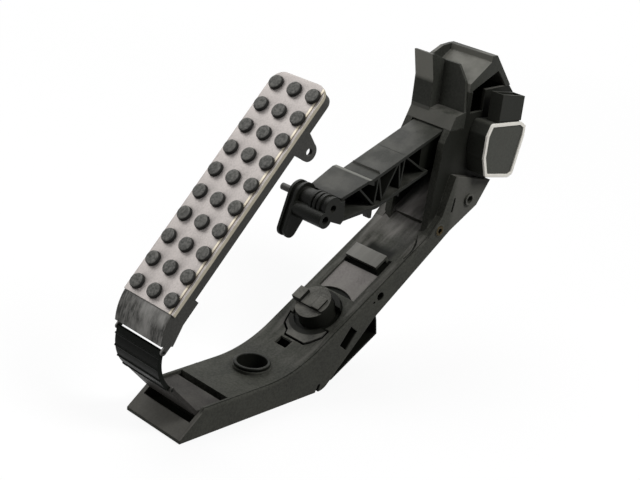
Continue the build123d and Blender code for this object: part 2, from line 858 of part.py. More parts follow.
# Tread carrier: hollow ribbed tray with the nose at its foot and two eye lugs behind
mat_base = sheet_top - sheet - mat_thick
carrier_half = tread_half - sheet - seat_gap / 2
carrier_high = tread_high - sheet - seat_gap / 2
axis_ahead = -tread_ahead_of_axis
axis_below = -tread_above_axis
with BuildSketch() as carrier_ear:
    with Locations((axis_ahead, axis_below)):
        Circle(ear_radius)
    Polygon(
        (axis_ahead, axis_below + ear_radius),
        (nose_back[0] + ear_radius, axis_below + ear_radius),
        (nose_back[0] + ear_radius, axis_below - ear_radius),
        (axis_ahead, axis_below - ear_radius),
        align=None,
    )
    with Locations((axis_ahead, axis_below)):
        Circle(trunnion_radius + running_gap, mode=Mode.SUBTRACT)
with BuildSketch() as carrier_lug:
    with Locations(lug_place):
        Circle(lug_radius)
    Polygon(
        (lug_place[0] - lug_radius, lug_place[1]),
        (lug_place[0] - lug_root, carrier_depth + carrier_wall),
        (lug_place[0] + lug_root, carrier_depth + carrier_wall),
        (lug_place[0] + lug_radius, lug_place[1]),
        align=None,
    )
    with Locations(lug_place):
        Circle(lug_hole_radius, mode=Mode.SUBTRACT)
with BuildPart() as pedal_carrier:
    with BuildSketch(tread_side):
        with BuildLine():
            nose_arc = ThreePointArc((tread_low - seat_gap, sheet_top), nose_bulge, nose_front)
            Polyline(
                nose_arc @ 1,
                nose_back,
                (tread_low, carrier_step_depth),
                (carrier_step, carrier_step_depth),
                (carrier_step, carrier_depth),
                (carrier_high, carrier_depth),
                (carrier_high, mat_base),
                (tread_low - seat_gap, mat_base),
                nose_arc @ 0,
            )
        make_face()
    extrude(amount=carrier_half, both=True)
    with BuildSketch(tread) as carrier_plan:
        with Locations((0, carrier_high)):
            Rectangle(2 * carrier_half, carrier_high - nose_front[0], align=(Align.CENTER, Align.MAX))
        fillet(carrier_plan.vertices().group_by(Axis.Y)[-1], tread_corner - sheet)
    extrude(amount=nose_back[1] * 2, mode=Mode.INTERSECT)
    with BuildSketch(tread.offset(mat_base - carrier_wall)) as carrier_room:
        with Locations((0, carrier_high - carrier_wall)):
            Rectangle(
                2 * (carrier_half - carrier_wall),
                carrier_high - tread_low - 2 * carrier_wall,
                align=(Align.CENTER, Align.MAX),
            )
        fillet(carrier_room.vertices().group_by(Axis.Y)[-1], tread_corner - sheet - carrier_wall)
    extrude(amount=nose_back[1], mode=Mode.SUBTRACT)
    with BuildSketch(tread.offset(mat_base - carrier_wall / 2)):
        with GridLocations(0, carrier_rib_pitch, 1, carrier_rib_count):
            Rectangle(2 * carrier_half - carrier_wall, rib / 2)
        Rectangle(rib / 2, carrier_rib_pitch * (carrier_rib_count - 1))
    extrude(amount=carrier_depth - mat_base + carrier_wall / 2)
    for flip in (1, -1):
        with BuildSketch(tread_side.offset(flip * ear_inner)):
            add(carrier_ear.sketch_local)
        extrude(amount=flip * ear_thick)
        with BuildSketch(tread_side.offset(flip * (carrier_half - lug_thick))):
            add(carrier_lug.sketch_local)
        extrude(amount=flip * lug_thick)
pedal_carrier.part.label = "pedal_carrier"
export_step(pedal_carrier.part, "parts/pedal_carrier.step")


# Rubber mat whose studs stand through the steel sheet
with BuildPart() as stud_mat:
    with BuildSketch(tread.offset(mat_base)) as mat_plan:
        with Locations((0, carrier_high)):
            Rectangle(2 * carrier_half, carrier_high - tread_low, align=(Align.CENTER, Align.MAX))
        fillet(mat_plan.vertices().group_by(Axis.Y)[-1], tread_corner - sheet)
    extrude(amount=mat_thick)
    with BuildSketch(tread.offset(mat_base + mat_thick / 2)):
        with GridLocations(stud_pitch_across, stud_pitch_along, stud_columns, stud_rows):
            Circle(stud_radius)
    extrude(amount=stud_top - mat_base - mat_thick / 2)
    stud_faces = stud_mat.faces().filter_by(tread).group_by(Axis(tread.origin, tread.z_dir))[-1]
    chamfer(stud_faces.edges(), stud_round)
stud_mat.part.label = "stud_mat"
export_step(stud_mat.part, "parts/stud_mat.step")


# Brushed steel sheet with a folded rim on three sides
with BuildPart() as tread_plate:
    with BuildSketch(tread.offset(sheet_top - sheet_rim)) as sheet_plan:
        with Locations((0, tread_high)):
            Rectangle(2 * tread_half, tread_high - tread_low, align=(Align.CENTER, Align.MAX))
        fillet(sheet_plan.vertices().group_by(Axis.Y)[-1], tread_corner)
    extrude(amount=sheet_rim)
    with BuildSketch(tread.offset(sheet_top - sheet_rim)) as rim_plan:
        with Locations((0, tread_high - sheet)):
            Rectangle(2 * (tread_half - sheet), tread_high - tread_low, align=(Align.CENTER, Align.MAX))
        fillet(rim_plan.vertices().group_by(Axis.Y)[-1], tread_corner - sheet)
    extrude(amount=sheet_rim - sheet, mode=Mode.SUBTRACT)
    with BuildSketch(tread.offset(sheet_top - sheet_rim)):
        with GridLocations(stud_pitch_across, stud_pitch_along, stud_columns, stud_rows):
            Circle(stud_radius + stud_hole_gap)
    extrude(amount=sheet_rim, mode=Mode.SUBTRACT)
tread_plate.part.label = "tread_plate"
export_step(tread_plate.part, "parts/tread_plate.step")


# Lever: open-sided channel from the eye end to the hub in the tower
flange_end_run = pivot_run + lever_flange_end
upper_end = (flange_end_run, lever_top_at(flange_end_run))
low_throat = from_pivot(lever_throat_offset)
upper_throat = (low_throat[0], lever_top_at(low_throat[0]))
lever_end = from_pivot(lever_end_offset)
low_knee = from_pivot(lever_knee_offset)
toe = from_pivot(lever_toe_offset)
lip_start = lever_lip[0] - lever_step * 1.5
with BuildPart() as lever_lid:
    with BuildSketch(side(0)):
        Polygon(
            lever_end,
            (lip_start, lever_lip[1] - lever_step / 8),
            lever_lip,
            upper_start,
            (upper_start[0], upper_start[1] - lever_sheet),
            (lip_start, lever_lip[1] - lever_sheet),
            (lever_end[0], lever_end[1] - lever_sheet),
            align=None,
        )
    extrude(amount=lever_lip_half, both=True)
    with BuildSketch(Plane.XY):
        Polygon(
            (-lever_end_half, lever_end[0] - fixing_from_heel),
            (lever_end_half, lever_end[0] - fixing_from_heel),
            (lever_lip_half, lip_start - fixing_from_heel),
            (lever_lip_half, upper_start[0] - fixing_from_heel),
            (-lever_lip_half, upper_start[0] - fixing_from_heel),
            (-lever_lip_half, lip_start - fixing_from_heel),
            align=None,
        )
    extrude(amount=tower_top, mode=Mode.INTERSECT)
tail_tip = (eye[0] + tail_tip_offset[0], eye[1] + tail_tip_offset[1])
with BuildSketch() as tail_outline:
    with Locations(eye):
        Circle(tail_hub_radius)
    with Locations(tail_tip):
        Circle(tail_tip_radius)
    make_hull()
with BuildPart() as lever_arm:
    with BuildSketch(side(-lever_half)):
        Polygon(
            eye,
            (lever_end[0], lever_end[1] - lever_sheet / 2),
            (lip_start, lever_lip[1] - lever_sheet / 2),
            (upper_start[0], upper_start[1] - lever_sheet / 2),
            (upper_throat[0], upper_throat[1] - lever_sheet / 2),
            low_throat,
            low_knee,
            toe,
            align=None,
        )
    extrude(amount=lever_web)
    add(lever_lid.part)
    with BuildSketch(side(0)):
        Polygon(
            upper_start,
            upper_end,
            (upper_end[0], upper_end[1] - lever_sheet),
            (upper_start[0], upper_start[1] - lever_sheet),
            align=None,
        )
        Polygon(
            toe,
            low_knee,
            low_throat,
            (low_throat[0], low_throat[1] + lever_sheet),
            (low_knee[0], low_knee[1] + lever_sheet),
            (toe[0], toe[1] + lever_sheet),
            align=None,
        )
    extrude(amount=lever_half, both=True)
    # Zigzag stiffening ribs between the flanges
    with BuildSketch(side(-lever_half + lever_web / 2)):
        with BuildLine():
            Polyline(*[from_pivot(corner) for corner in lever_zigzag])
        trace(line_width=lever_rib)
    extrude(amount=2 * lever_half - lever_web / 2 - lever_rib_setback)
    # Boom and hub inside the tower
    with BuildSketch(side(0)):
        Polygon(
            (low_throat[0] - lever_sheet, low_throat[1]),
            (low_throat[0] - lever_sheet, upper_throat[1] - lever_sheet),
            (upper_end[0], upper_end[1] - lever_sheet / 2),
            (pivot_run, pivot_height + hub_radius - lever_web),
            (pivot_run, pivot_height - hub_radius + lever_web),
            align=None,
        )
    extrude(amount=boom_half, both=True)
    with BuildSketch(side(0)):
        with Locations(pivot):
            Circle(hub_radius)
    extrude(amount=hub_half, both=True)
    # Eye end: two tubes across the lever, the upper one ringed, and a thin cheek
    with BuildSketch(side(eye_left)):
        with Locations(eye):
            Circle(eye_radius)
        with Locations(eye_low):
            Circle(eye_low_radius)
    extrude(amount=eye_right - eye_left)
    for ring in eye_ring_places:
        with BuildSketch(side(ring)):
            with Locations(eye):
                Circle(eye_ring_radius)
        extrude(amount=eye_ring_width)
    with BuildSketch(side(eye_right - eye_cheek)):
        with Locations(eye):
            Circle(eye_cheek_radius)
        Polygon(
            eye,
            (lever_end[0] + lever_sheet, lever_end[1] - lever_sheet / 2),
            (toe[0] + lever_sheet, toe[1] + lever_sheet),
            toe,
            eye_low,
            align=None,
        )
    extrude(amount=eye_cheek)
    with BuildSketch(side(lever_half - lever_tab_width)):
        tab_front, tab_back = [pivot_run + place for place in lever_tab_offset]
        Polygon(
            (tab_front, low_knee[1] + lever_sheet / 2),
            (tab_back, low_knee[1] + lever_sheet / 2),
            (tab_back, low_knee[1] - lever_tab_drop),
            (tab_back - lever_web, low_knee[1] - lever_tab_drop),
            align=None,
        )
    extrude(amount=lever_tab_width)
    # Tail: two cheeks with a grooved web between them
    with BuildSketch(side(tail_left)):
        add(tail_outline.sketch_local)
    extrude(amount=tail_cheek)
    with BuildSketch(side(tail_left + tail_width - tail_cheek)):
        add(tail_outline.sketch_local)
    extrude(amount=tail_cheek)
    with BuildSketch(side(tail_left + tail_cheek / 2)):
        add(tail_outline.sketch_local)
        offset(amount=-tail_groove)
    extrude(amount=tail_width - tail_cheek)
    # Bores of the shaft, the link pin and the lower tube
    with BuildSketch(side(0)):
        with Locations(pivot):
            Circle(shaft_radius + seat_gap / 4)
        with Locations(eye):
            Circle(link_pin_radius + seat_gap / 4)
        with Locations(eye_low):
            Circle(eye_low_bore)
    extrude(amount=base_half, both=True, mode=Mode.SUBTRACT)
lever_arm.part.label = "lever_arm"
export_step(lever_arm.part, "parts/lever_arm.step")


# Pin through the lever's eye, drawn out to the left
with BuildPart() as link_pin:
    with BuildSketch(side(link_pin_left)):
        with Locations(eye):
            Circle(link_pin_radius)
    extrude(amount=link_pin_right - link_pin_left)
    chamfer(link_pin.edges().filter_by(GeomType.CIRCLE).group_by(Axis.X)[0], link_pin_radius / 4)
link_pin.part.label = "link_pin"
export_step(link_pin.part, "parts/link_pin.step")


# Lever shaft across the tower, reaching into the sensor
sensor_left = tower_half + 2 * seat_gap
rotor_left = sensor_left + sensor_wall + shaft_end_gap
with BuildPart() as lever_shaft:
    with BuildSketch(side(-tower_half - shaft_end_gap)):
        with Locations(pivot):
            Circle(shaft_radius)
    extrude(amount=tower_half + shaft_end_gap + rotor_left + rotor_thick / 2)
lever_shaft.part.label = "lever_shaft"
export_step(lever_shaft.part, "parts/lever_shaft.step")


# Plain bearing bushes in the two tower walls
with BuildPart() as shaft_bushes:
    with BuildSketch(side(tower_half - wall)):
        with Locations(pivot):
            Circle(shaft_radius + running_gap + bearing_wall)
            Circle(shaft_radius + running_gap, mode=Mode.SUBTRACT)
    extrude(amount=wall)
    mirror(about=Plane.YZ)
shaft_bushes.part.label = "shaft_bushes"
export_step(shaft_bushes.part, "parts/shaft_bushes.step")


# Pair of return springs beside the hub, each with a leg against the tower's rear wall
leg_reach = tower_rear_run - wall - seat_gap - pivot_run
with BuildPart() as return_springs:
    spring_centre = (hub_half + spring_wire, pivot_run - fixing_from_heel, pivot_height)
    with BuildLine():
        Polyline(*coil(spring_centre, (1, 0, 0), (0, 0, 1), spring_radius, spring_pitch, spring_turns))
    first_side = return_springs.pending_edges[0]
    with BuildSketch(Plane(origin=first_side @ 0, z_dir=first_side % 0)):
        Rectangle(spring_wire, spring_wire)
    sweep(transition=Transition.RIGHT)
    leg_x = hub_half + spring_wire
    with BuildSketch(side(leg_x - spring_wire / 2)):
        with Locations((pivot_run, pivot_height + spring_radius)):
            Rectangle(leg_reach, spring_wire, align=(Align.MIN, Align.CENTER))
    extrude(amount=spring_wire)
    mirror(about=Plane.YZ)
return_springs.part.label = "return_springs"
export_step(return_springs.part, "parts/return_springs.step")


# Sensor housing with its connector shroud
with BuildSketch() as sensor_outline:
    Polygon(*[(pivot_run + y, pivot_height + z) for y, z in sensor_corners], align=None)
    fillet(sensor_outline.vertices(), sensor_corner_radius)
with BuildSketch() as sensor_room:
    add(sensor_outline.sketch_local)
    offset(amount=-sensor_wall)
with BuildPart() as sensor_housing:
    with BuildSketch(side(sensor_left)):
        add(sensor_outline.sketch_local)
    extrude(amount=sensor_depth)
    shroud_right = sensor_left + sensor_depth + seal_thick
    with BuildSketch(side(shroud_right - shroud_thick)):
        Polygon(
            (pivot_run + shroud_front, pivot_height + shroud_low + seal_width),
            (pivot_run + shroud_front, pivot_height + shroud_front_top),
            (pivot_run + shroud_rear, pivot_height + shroud_rear_top),
            (pivot_run + shroud_rear, pivot_height + shroud_low),
            align=None,
        )
    extrude(amount=shroud_thick - seal_thick)
    with BuildSketch(side(sensor_left + sensor_depth)):
        Polygon(
            (pivot_run + shroud_front, pivot_height + sensor_corners[3][1] + seal_width / 2),
            (pivot_run + shroud_front, pivot_height + shroud_front_top),
            (pivot_run + shroud_rear, pivot_height + shroud_rear_top),
            (pivot_run + shroud_rear, pivot_height + sensor_corners[4][1] + seal_width / 2),
            align=None,
        )
    extrude(amount=seal_thick)
    with BuildSketch(side(shroud_right - shroud_thick + shroud_wall)):
        Polygon(
            (pivot_run + shroud_front + shroud_wall, pivot_height + shroud_floor),
            (pivot_run + shroud_front + shroud_wall, pivot_height + shroud_front_top + wall),
            (pivot_run + shroud_rear - shroud_wall, pivot_height + shroud_front_top + wall),
            (pivot_run + shroud_rear - shroud_wall, pivot_height + shroud_floor),
            align=None,
        )
    extrude(amount=shroud_thick - 2 * shroud_wall, mode=Mode.SUBTRACT)
    with BuildSketch(side(sensor_left + sensor_wall)):
        add(sensor_room.sketch_local)
    extrude(amount=sensor_depth - sensor_wall, mode=Mode.SUBTRACT)
    with BuildSketch(side(sensor_left)):
        with Locations(pivot):
            Circle(shaft_radius + rotor_hole_gap)
    extrude(amount=sensor_wall, mode=Mode.SUBTRACT)
sensor_housing.part.label = "sensor_housing"
export_step(sensor_housing.part, "parts/sensor_housing.step")


# Rotor on the end of the shaft and the magnet it carries
with BuildPart() as sensor_rotor:
    with BuildSketch(side(rotor_left)):
        with Locations(pivot):
            Circle(rotor_radius)
    extrude(amount=rotor_thick)
    with BuildSketch(side(rotor_left)):
        with Locations(pivot):
            Circle(shaft_radius + seat_gap / 4)
    extrude(amount=rotor_thick / 2 + seat_gap / 2, mode=Mode.SUBTRACT)
sensor_rotor.part.label = "sensor_rotor"
export_step(sensor_rotor.part, "parts/sensor_rotor.step")

magnet_left = rotor_left + rotor_thick + seat_gap / 2
with BuildPart() as rotor_magnet:
    with BuildSketch(side(magnet_left)):
        with Locations(pivot):
            Circle(magnet_radius)
            Circle(magnet_radius / 2, mode=Mode.SUBTRACT)
    extrude(amount=magnet_thick)
rotor_magnet.part.label = "rotor_magnet"
export_step(rotor_magnet.part, "parts/rotor_magnet.step")


# Circuit board facing the magnet
with BuildPart() as sensor_board:
    with BuildSketch(side(magnet_left + magnet_thick + sliding_gap)):
        add(sensor_room.sketch_local)
        offset(amount=-seat_gap)
    extrude(amount=board_thick)
sensor_board.part.label = "sensor_board"
export_step(sensor_board.part, "parts/sensor_board.step")


# Pale frame round the sensor's face and the dark cover inside it
seal_left = sensor_left + sensor_depth + seat_gap / 2
with BuildPart() as cover_seal:
    with BuildSketch(side(seal_left)):
        add(sensor_outline.sketch_local)
        add(offset(sensor_outline.sketch_local, amount=-seal_width, mode=Mode.PRIVATE), mode=Mode.SUBTRACT)
    extrude(amount=seal_thick)
cover_seal.part.label = "cover_seal"
export_step(cover_seal.part, "parts/cover_seal.step")

with BuildPart() as sensor_cover:
    with BuildSketch(side(seal_left + seal_thick / 2 - cover_thick)):
        add(sensor_outline.sketch_local)
        offset(amount=-seal_width - seat_gap)
    extrude(amount=cover_thick)
sensor_cover.part.label = "sensor_cover"
export_step(sensor_cover.part, "parts/sensor_cover.step")


# Terminals in the connector shroud
terminal_room = shroud_rear - shroud_front - 2 * shroud_wall
with BuildPart() as connector_pins:
    terminal_height_at = pivot_height + shroud_floor + seat_gap / 2
    terminal_y = pivot_run - fixing_from_heel + (shroud_front + shroud_rear) / 2
    with BuildSketch(Plane.XY.offset(terminal_height_at)):
        with Locations((shroud_right - shroud_thick / 2, terminal_y)):
            with GridLocations(0, terminal_room / (terminal_count + 1), 1, terminal_count):
                Rectangle(terminal_thick, terminal_width)
    extrude(amount=terminal_height)
connector_pins.part.label = "connector_pins"
export_step(connector_pins.part, "parts/connector_pins.step")


# Tower cover: the leaning lip over the lever, the ledge, front wall and left bay
ledge_height = lip[1] + ledge_sheet
cover_base = lip_low[1] + seat_gap
cover_back = cover_wall_run + cover_wall
cover_wall_top = pivot_height + cover_wall_rise
lip_foot = ahead(lip, 270 - lip_lean, lip_drop - seat_gap)
bay_run = pivot_run + bay_back
fin_run = pivot_run + fin_back
fin_top = pivot_height + fin_rise
with BuildPart() as tower_cover:
    with BuildSketch(side(0)):
        Polygon(
            lip,
            (lip_foot[0], cover_base),
            (cover_back, cover_base),
            (cover_back, ledge_height),
            align=None,
        )
    extrude(amount=tower_half, both=True)
    with BuildSketch(side(0)):
        Polygon(
            (lip_foot[0] - wall, cover_base - wall),
            (cover_back, cover_base - wall),
            (cover_back, ledge_height - ledge_sheet),
            (lip[0] + lip_thick, lip[1] - ledge_sheet),
            (lip_foot[0] + lip_thick, lever_top_at(lip_foot[0] + lip_thick) + lip_gap),
            (lip_foot[0] - wall, lever_top_at(lip_foot[0] - wall) + lip_gap),
            align=None,
        )
    extrude(amount=tower_half - wall, both=True, mode=Mode.SUBTRACT)
    with BuildSketch(Plane.XZ.offset(fixing_from_heel - cover_back)):
        Polygon(
            (-tower_half, ledge_height - ledge_sheet),
            (tower_half, ledge_height - ledge_sheet),
            (cover_wall_shoulder[0], pivot_height + cover_wall_shoulder[1]),
            (cover_wall_flat, cover_wall_top),
            (-tower_half, cover_wall_top),
            align=None,
        )
    extrude(amount=cover_wall)
    with BuildSketch(side(-tower_half)):
        Polygon(
            (bay_run, lip[1] - ledge_sheet),
            (bay_run, pivot_height + bay_rise),
            (fin_run, fin_top),
            (fin_run + cover_wall, fin_top),
            (cover_wall_run + cover_wall / 2, cover_wall_top),
            (cover_wall_run + cover_wall / 2, lip[1]),
            align=None,
        )
    extrude(amount=tower_half + bay_right)
    with BuildSketch(side(-tower_half + cover_wall)):
        Polygon(
            (bay_run + cover_wall, ledge_height),
            (bay_run + cover_wall, pivot_height + bay_rise),
            (fin_run + cover_wall, fin_top + cover_wall),
            (cover_wall_run, fin_top + cover_wall),
            (cover_wall_run, ledge_height),
            align=None,
        )
    extrude(amount=tower_half + bay_right - 2 * cover_wall, mode=Mode.SUBTRACT)
tower_cover.part.label = "tower_cover"
export_step(tower_cover.part, "parts/tower_cover.step")


# Tower cap: sloped hood with a raised plate along its left side
cap_base = tower_top + seat_gap
cap_front = cover_back + seat_gap
cap_ridge_run = pivot_run + cap_ridge_back
cap_top_run = pivot_run + cap_top_back
cap_rear_run = pivot_run + cap_rear
cap_top = tower_top + cap_top_rise
with BuildPart() as tower_cap:
    with BuildSketch(side(0)):
        Polygon(
            (cap_front, cap_base),
            (cap_front, tower_top + cap_front_rise),
            (cap_ridge_run, tower_top + cap_ridge_rise),
            (cap_ridge_run, cap_top),
            (cap_top_run, cap_top),
            (cap_rear_run, cap_base),
            align=None,
        )
    extrude(amount=tower_half, both=True)
    with BuildSketch(side(0)):
        Polygon(
            (cap_front + cap_sheet, cap_base),
            (cap_front + cap_sheet, tower_top + cap_front_rise - cap_sheet / 2),
            (cap_ridge_run + cap_sheet / 2, tower_top + cap_ridge_rise - cap_sheet),
            (cap_top_run - cap_sheet / 2, cap_top - cap_sheet),
            (cap_rear_run - 2 * cap_sheet, cap_base),
            align=None,
        )
    extrude(amount=tower_half - cap_sheet, both=True, mode=Mode.SUBTRACT)
    with BuildSketch(side(-tower_half)):
        Polygon(
            (cap_front, cap_base),
            (cap_front, cover_wall_top),
            (pivot_run + cap_crown_back, cap_top - cap_crown_drop),
            (cap_ridge_run, cap_top),
            (cap_ridge_run, cap_base),
            align=None,
        )
    extrude(amount=wall)
    with BuildSketch(side(tower_half - cap_sheet)):
        Polygon(
            (cap_front + cap_sheet, cap_base),
            (pivot_run + cap_gap_back, tower_top + cap_gap_rise),
            (cap_rear_run - cap_gap_rear, cap_base),
            align=None,
        )
    extrude(amount=cap_sheet, mode=Mode.SUBTRACT)
tower_cap.part.label = "tower_cap"
export_step(tower_cap.part, "parts/tower_cap.step")


# Rubber buffer under the ledge that the lever comes to rest against
buffer_run = lip[0] + lip_thick + seat_gap
buffer_end = buffer_run + buffer_length
with BuildPart() as stop_buffer:
    with BuildSketch(side(0)):
        Polygon(
            (buffer_run, lever_top_at(buffer_run) + sliding_gap),
            (buffer_end, lever_top_at(buffer_end) + sliding_gap),
            (buffer_end, lip[1] - ledge_sheet - seat_gap),
            (buffer_run, lip[1] - ledge_sheet - seat_gap),
            align=None,
        )
    extrude(amount=buffer_half, both=True)
stop_buffer.part.label = "stop_buffer"
export_step(stop_buffer.part, "parts/stop_buffer.step")
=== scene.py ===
"""Floor-hinged accelerator pedal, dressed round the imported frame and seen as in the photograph."""

from math import pi, radians

import bpy
from mathutils import Matrix, Vector


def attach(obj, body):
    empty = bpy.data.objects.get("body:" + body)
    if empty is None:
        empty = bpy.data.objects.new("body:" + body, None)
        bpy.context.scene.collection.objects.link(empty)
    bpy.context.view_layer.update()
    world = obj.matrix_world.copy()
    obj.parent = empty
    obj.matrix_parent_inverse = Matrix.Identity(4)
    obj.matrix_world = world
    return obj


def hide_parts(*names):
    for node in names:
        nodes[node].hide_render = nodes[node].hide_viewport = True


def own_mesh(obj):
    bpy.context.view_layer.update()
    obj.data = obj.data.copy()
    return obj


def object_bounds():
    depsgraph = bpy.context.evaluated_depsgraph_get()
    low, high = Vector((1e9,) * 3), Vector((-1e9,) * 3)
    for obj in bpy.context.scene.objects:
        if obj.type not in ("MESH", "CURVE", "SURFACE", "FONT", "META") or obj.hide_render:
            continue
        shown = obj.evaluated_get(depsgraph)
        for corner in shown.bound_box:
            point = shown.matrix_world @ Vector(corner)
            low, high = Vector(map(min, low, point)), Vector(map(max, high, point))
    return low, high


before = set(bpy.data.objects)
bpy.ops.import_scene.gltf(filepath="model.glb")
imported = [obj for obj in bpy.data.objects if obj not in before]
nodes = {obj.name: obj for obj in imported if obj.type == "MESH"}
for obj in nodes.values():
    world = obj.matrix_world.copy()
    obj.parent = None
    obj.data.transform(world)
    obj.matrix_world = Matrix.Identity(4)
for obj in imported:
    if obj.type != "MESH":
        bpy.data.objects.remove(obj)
cad_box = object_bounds()

# Base housing: one glass-filled black nylon moulding, ribbed and open underneath.
# Its faces carry a fine spark-eroded grain; dust has settled on the upward faces and
# the mould's edges are rubbed a little paler, a paleness that also paints a highlight along them.


def feed(tree, socket, value):
    """Gives a socket a plain value, or links it to the socket that is handed in."""
    if isinstance(value, bpy.types.NodeSocket):
        tree.links.new(value, socket)
    else:
        socket.default_value = value


def reckon(tree, operation, first, second):
    """Output of a Math node."""
    node = tree.nodes.new("ShaderNodeMath")
    node.operation = operation
    feed(tree, node.inputs[0], first)
    feed(tree, node.inputs[1], second)
    return node.outputs["Value"]


def ramp(tree, value, low, high, first=0.0, last=1.0):
    """Output that goes from first to last while a value goes from low to high."""
    node = tree.nodes.new("ShaderNodeMapRange")
    terms = {"Value": value, "From Min": low, "From Max": high, "To Min": first, "To Max": last}
    for label, term in terms.items():
        feed(tree, node.inputs[label], term)
    return node.outputs["Result"]


def noise(tree, place, detail, scale):
    """Output of a noise texture."""
    node = tree.nodes.new("ShaderNodeTexNoise")
    node.inputs["Detail"].default_value = detail
    feed(tree, node.inputs["Vector"], place)
    feed(tree, node.inputs["Scale"], scale)
    return node.outputs["Fac"]


def node_group(name, inputs, outputs):
    """An empty node group with its named sockets, each a Float or a Vector."""
    group = bpy.data.node_groups.new(name, "ShaderNodeTree")
    for way, labels in (("INPUT", inputs), ("OUTPUT", outputs)):
        for label, kind in labels.items():
            group.interface.new_socket(label, in_out=way, socket_type="NodeSocket" + kind)
    entry = group.nodes.new("NodeGroupInput")
    leave = group.nodes.new("NodeGroupOutput")
    return group, entry.outputs, leave.inputs


def own_normal(tree):
    """The way a face looks in its piece's own frame, so that marks go with a piece that moves."""
    surface = tree.nodes.new("ShaderNodeNewGeometry")
    turn = tree.nodes.new("ShaderNodeVectorTransform")
    turn.vector_type = "NORMAL"
    turn.convert_from = "WORLD"
    turn.convert_to = "OBJECT"
    feed(tree, turn.inputs["Vector"], surface.outputs["Normal"])
    return turn.outputs["Vector"]


def dot(tree, first, second):
    """Output of the dot product of two vectors."""
    node = tree.nodes.new("ShaderNodeVectorMath")
    node.operation = "DOT_PRODUCT"
    feed(tree, node.inputs[0], first)
    feed(tree, node.inputs[1], second)
    return node.outputs["Value"]


def moulded_surface():
    """Shared surface of the mouldings: cloudy tone, gloss, grain, dust, and edges worn paler that
    also paint a highlight.
    """
    group, given, out = node_group(
        "moulded_surface",
        {
            "Cloud Scale": "Float",
            "Grain Scale": "Float",
            "Gloss Low": "Float",
            "Gloss High": "Float",
            "Edge Radius": "Float",
            "Dust Lean": "Float",
        },
        {
            "Shade": "Float",
            "Roughness": "Float",
            "Height": "Float",
            "Upward": "Float",
            "Sideways": "Float",
            "Dust": "Float",
            "Edge": "Float",
            "Normal": "Vector",
        },
    )
    place = group.nodes.new("ShaderNodeTexCoord").outputs["Object"]
    cloud = noise(group, place, detail=4.0, scale=given["Cloud Scale"])
    speckle = ramp(group, noise(group, place, detail=3.0, scale=650.0), low=0.36, high=0.64)
    shade = reckon(group, "ADD", ramp(group, cloud, low=0.3, high=0.7), speckle)
    feed(group, out["Shade"], reckon(group, "MULTIPLY", shade, 0.5))
    gloss = ramp(group, cloud, low=0.3, high=0.7, first=given["Gloss Low"], last=given["Gloss High"])
    feed(group, out["Roughness"], gloss)
    feed(group, out["Height"], noise(group, place, detail=2.0, scale=given["Grain Scale"]))

    rise = dot(group, own_normal(group), (0.0, 0.0, 1.0))
    upward = ramp(group, rise, low=given["Dust Lean"], high=0.95)
    feed(group, out["Upward"], upward)
    feed(group, out["Sideways"], reckon(group, "SUBTRACT", 1.0, upward))
    patches = ramp(group, noise(group, place, detail=7.0, scale=55.0), low=0.42, high=0.68)
    feed(group, out["Dust"], reckon(group, "MULTIPLY", upward, patches))

    rounding = group.nodes.new("ShaderNodeBevel")
    rounding.samples = 8
    feed(group, rounding.inputs["Radius"], given["Edge Radius"])
    feed(group, out["Normal"], rounding.outputs["Normal"])
    surface = group.nodes.new("ShaderNodeNewGeometry")
    bend = dot(group, rounding.outputs["Normal"], surface.outputs["Normal"])
    # Edges worn paler, which also serves as a painted highlight along them.
    worn_and_lit = ramp(group, bend, low=0.97, high=0.8)
    broken = ramp(group, noise(group, place, detail=4.0, scale=160.0), low=0.38, high=0.62)
    feed(group, out["Edge"], reckon(group, "MULTIPLY", worn_and_lit, broken))
    return group


def long_marks():
    """Shared mask of long marks: noise stretched along one axis of the turned Object frame."""
    group, given, out = node_group(
        "long_marks",
        {"Turn": "Vector", "Spread": "Vector", "Low": "Float", "High": "Float"},
        {"Mask": "Float"},
    )
    lay = group.nodes.new("ShaderNodeMapping")
    feed(group, lay.inputs["Vector"], group.nodes.new("ShaderNodeTexCoord").outputs["Object"])
    feed(group, lay.inputs["Rotation"], given["Turn"])
    feed(group, lay.inputs["Scale"], given["Spread"])
    marks = noise(group, lay.outputs["Vector"], detail=6.0, scale=1.0)
    feed(group, out["Mask"], ramp(group, marks, given["Low"], given["High"]))
    return group


def slice_mask():
    """Shared mask of the slice between two places on an axis of the turned Object frame."""
    group, given, out = node_group(
        "slice_mask",
        {"Turn": "Vector", "Axis": "Vector", "Low": "Float", "High": "Float", "Fade": "Float"},
        {"Mask": "Float"},
    )
    lay = group.nodes.new("ShaderNodeMapping")
    feed(group, lay.inputs["Vector"], group.nodes.new("ShaderNodeTexCoord").outputs["Object"])
    feed(group, lay.inputs["Rotation"], given["Turn"])
    along = dot(group, lay.outputs["Vector"], given["Axis"])
    rise = ramp(group, along, reckon(group, "SUBTRACT", given["Low"], given["Fade"]), given["Low"])
    fall = ramp(group, along, reckon(group, "ADD", given["High"], given["Fade"]), given["High"])
    feed(group, out["Mask"], reckon(group, "MULTIPLY", rise, fall))
    return group


def facing_mask():
    """Shared mask of the faces that look one way."""
    group, given, out = node_group(
        "facing_mask",
        {"Direction": "Vector", "Low": "Float", "High": "Float"},
        {"Mask": "Float"},
    )
    looks = dot(group, own_normal(group), given["Direction"])
    feed(group, out["Mask"], ramp(group, looks, given["Low"], given["High"]))
    return group


surface_group = moulded_surface()
marks_group = long_marks()
slice_group = slice_mask()
facing_group = facing_mask()


def placed(tree, group, **values):
    """Puts a node group into a material with its own values, named as its sockets are."""
    node = tree.nodes.new("ShaderNodeGroup")
    node.node_tree = group
    for label, value in values.items():
        node.inputs[label.replace("_", " ").title()].default_value = value
    return node


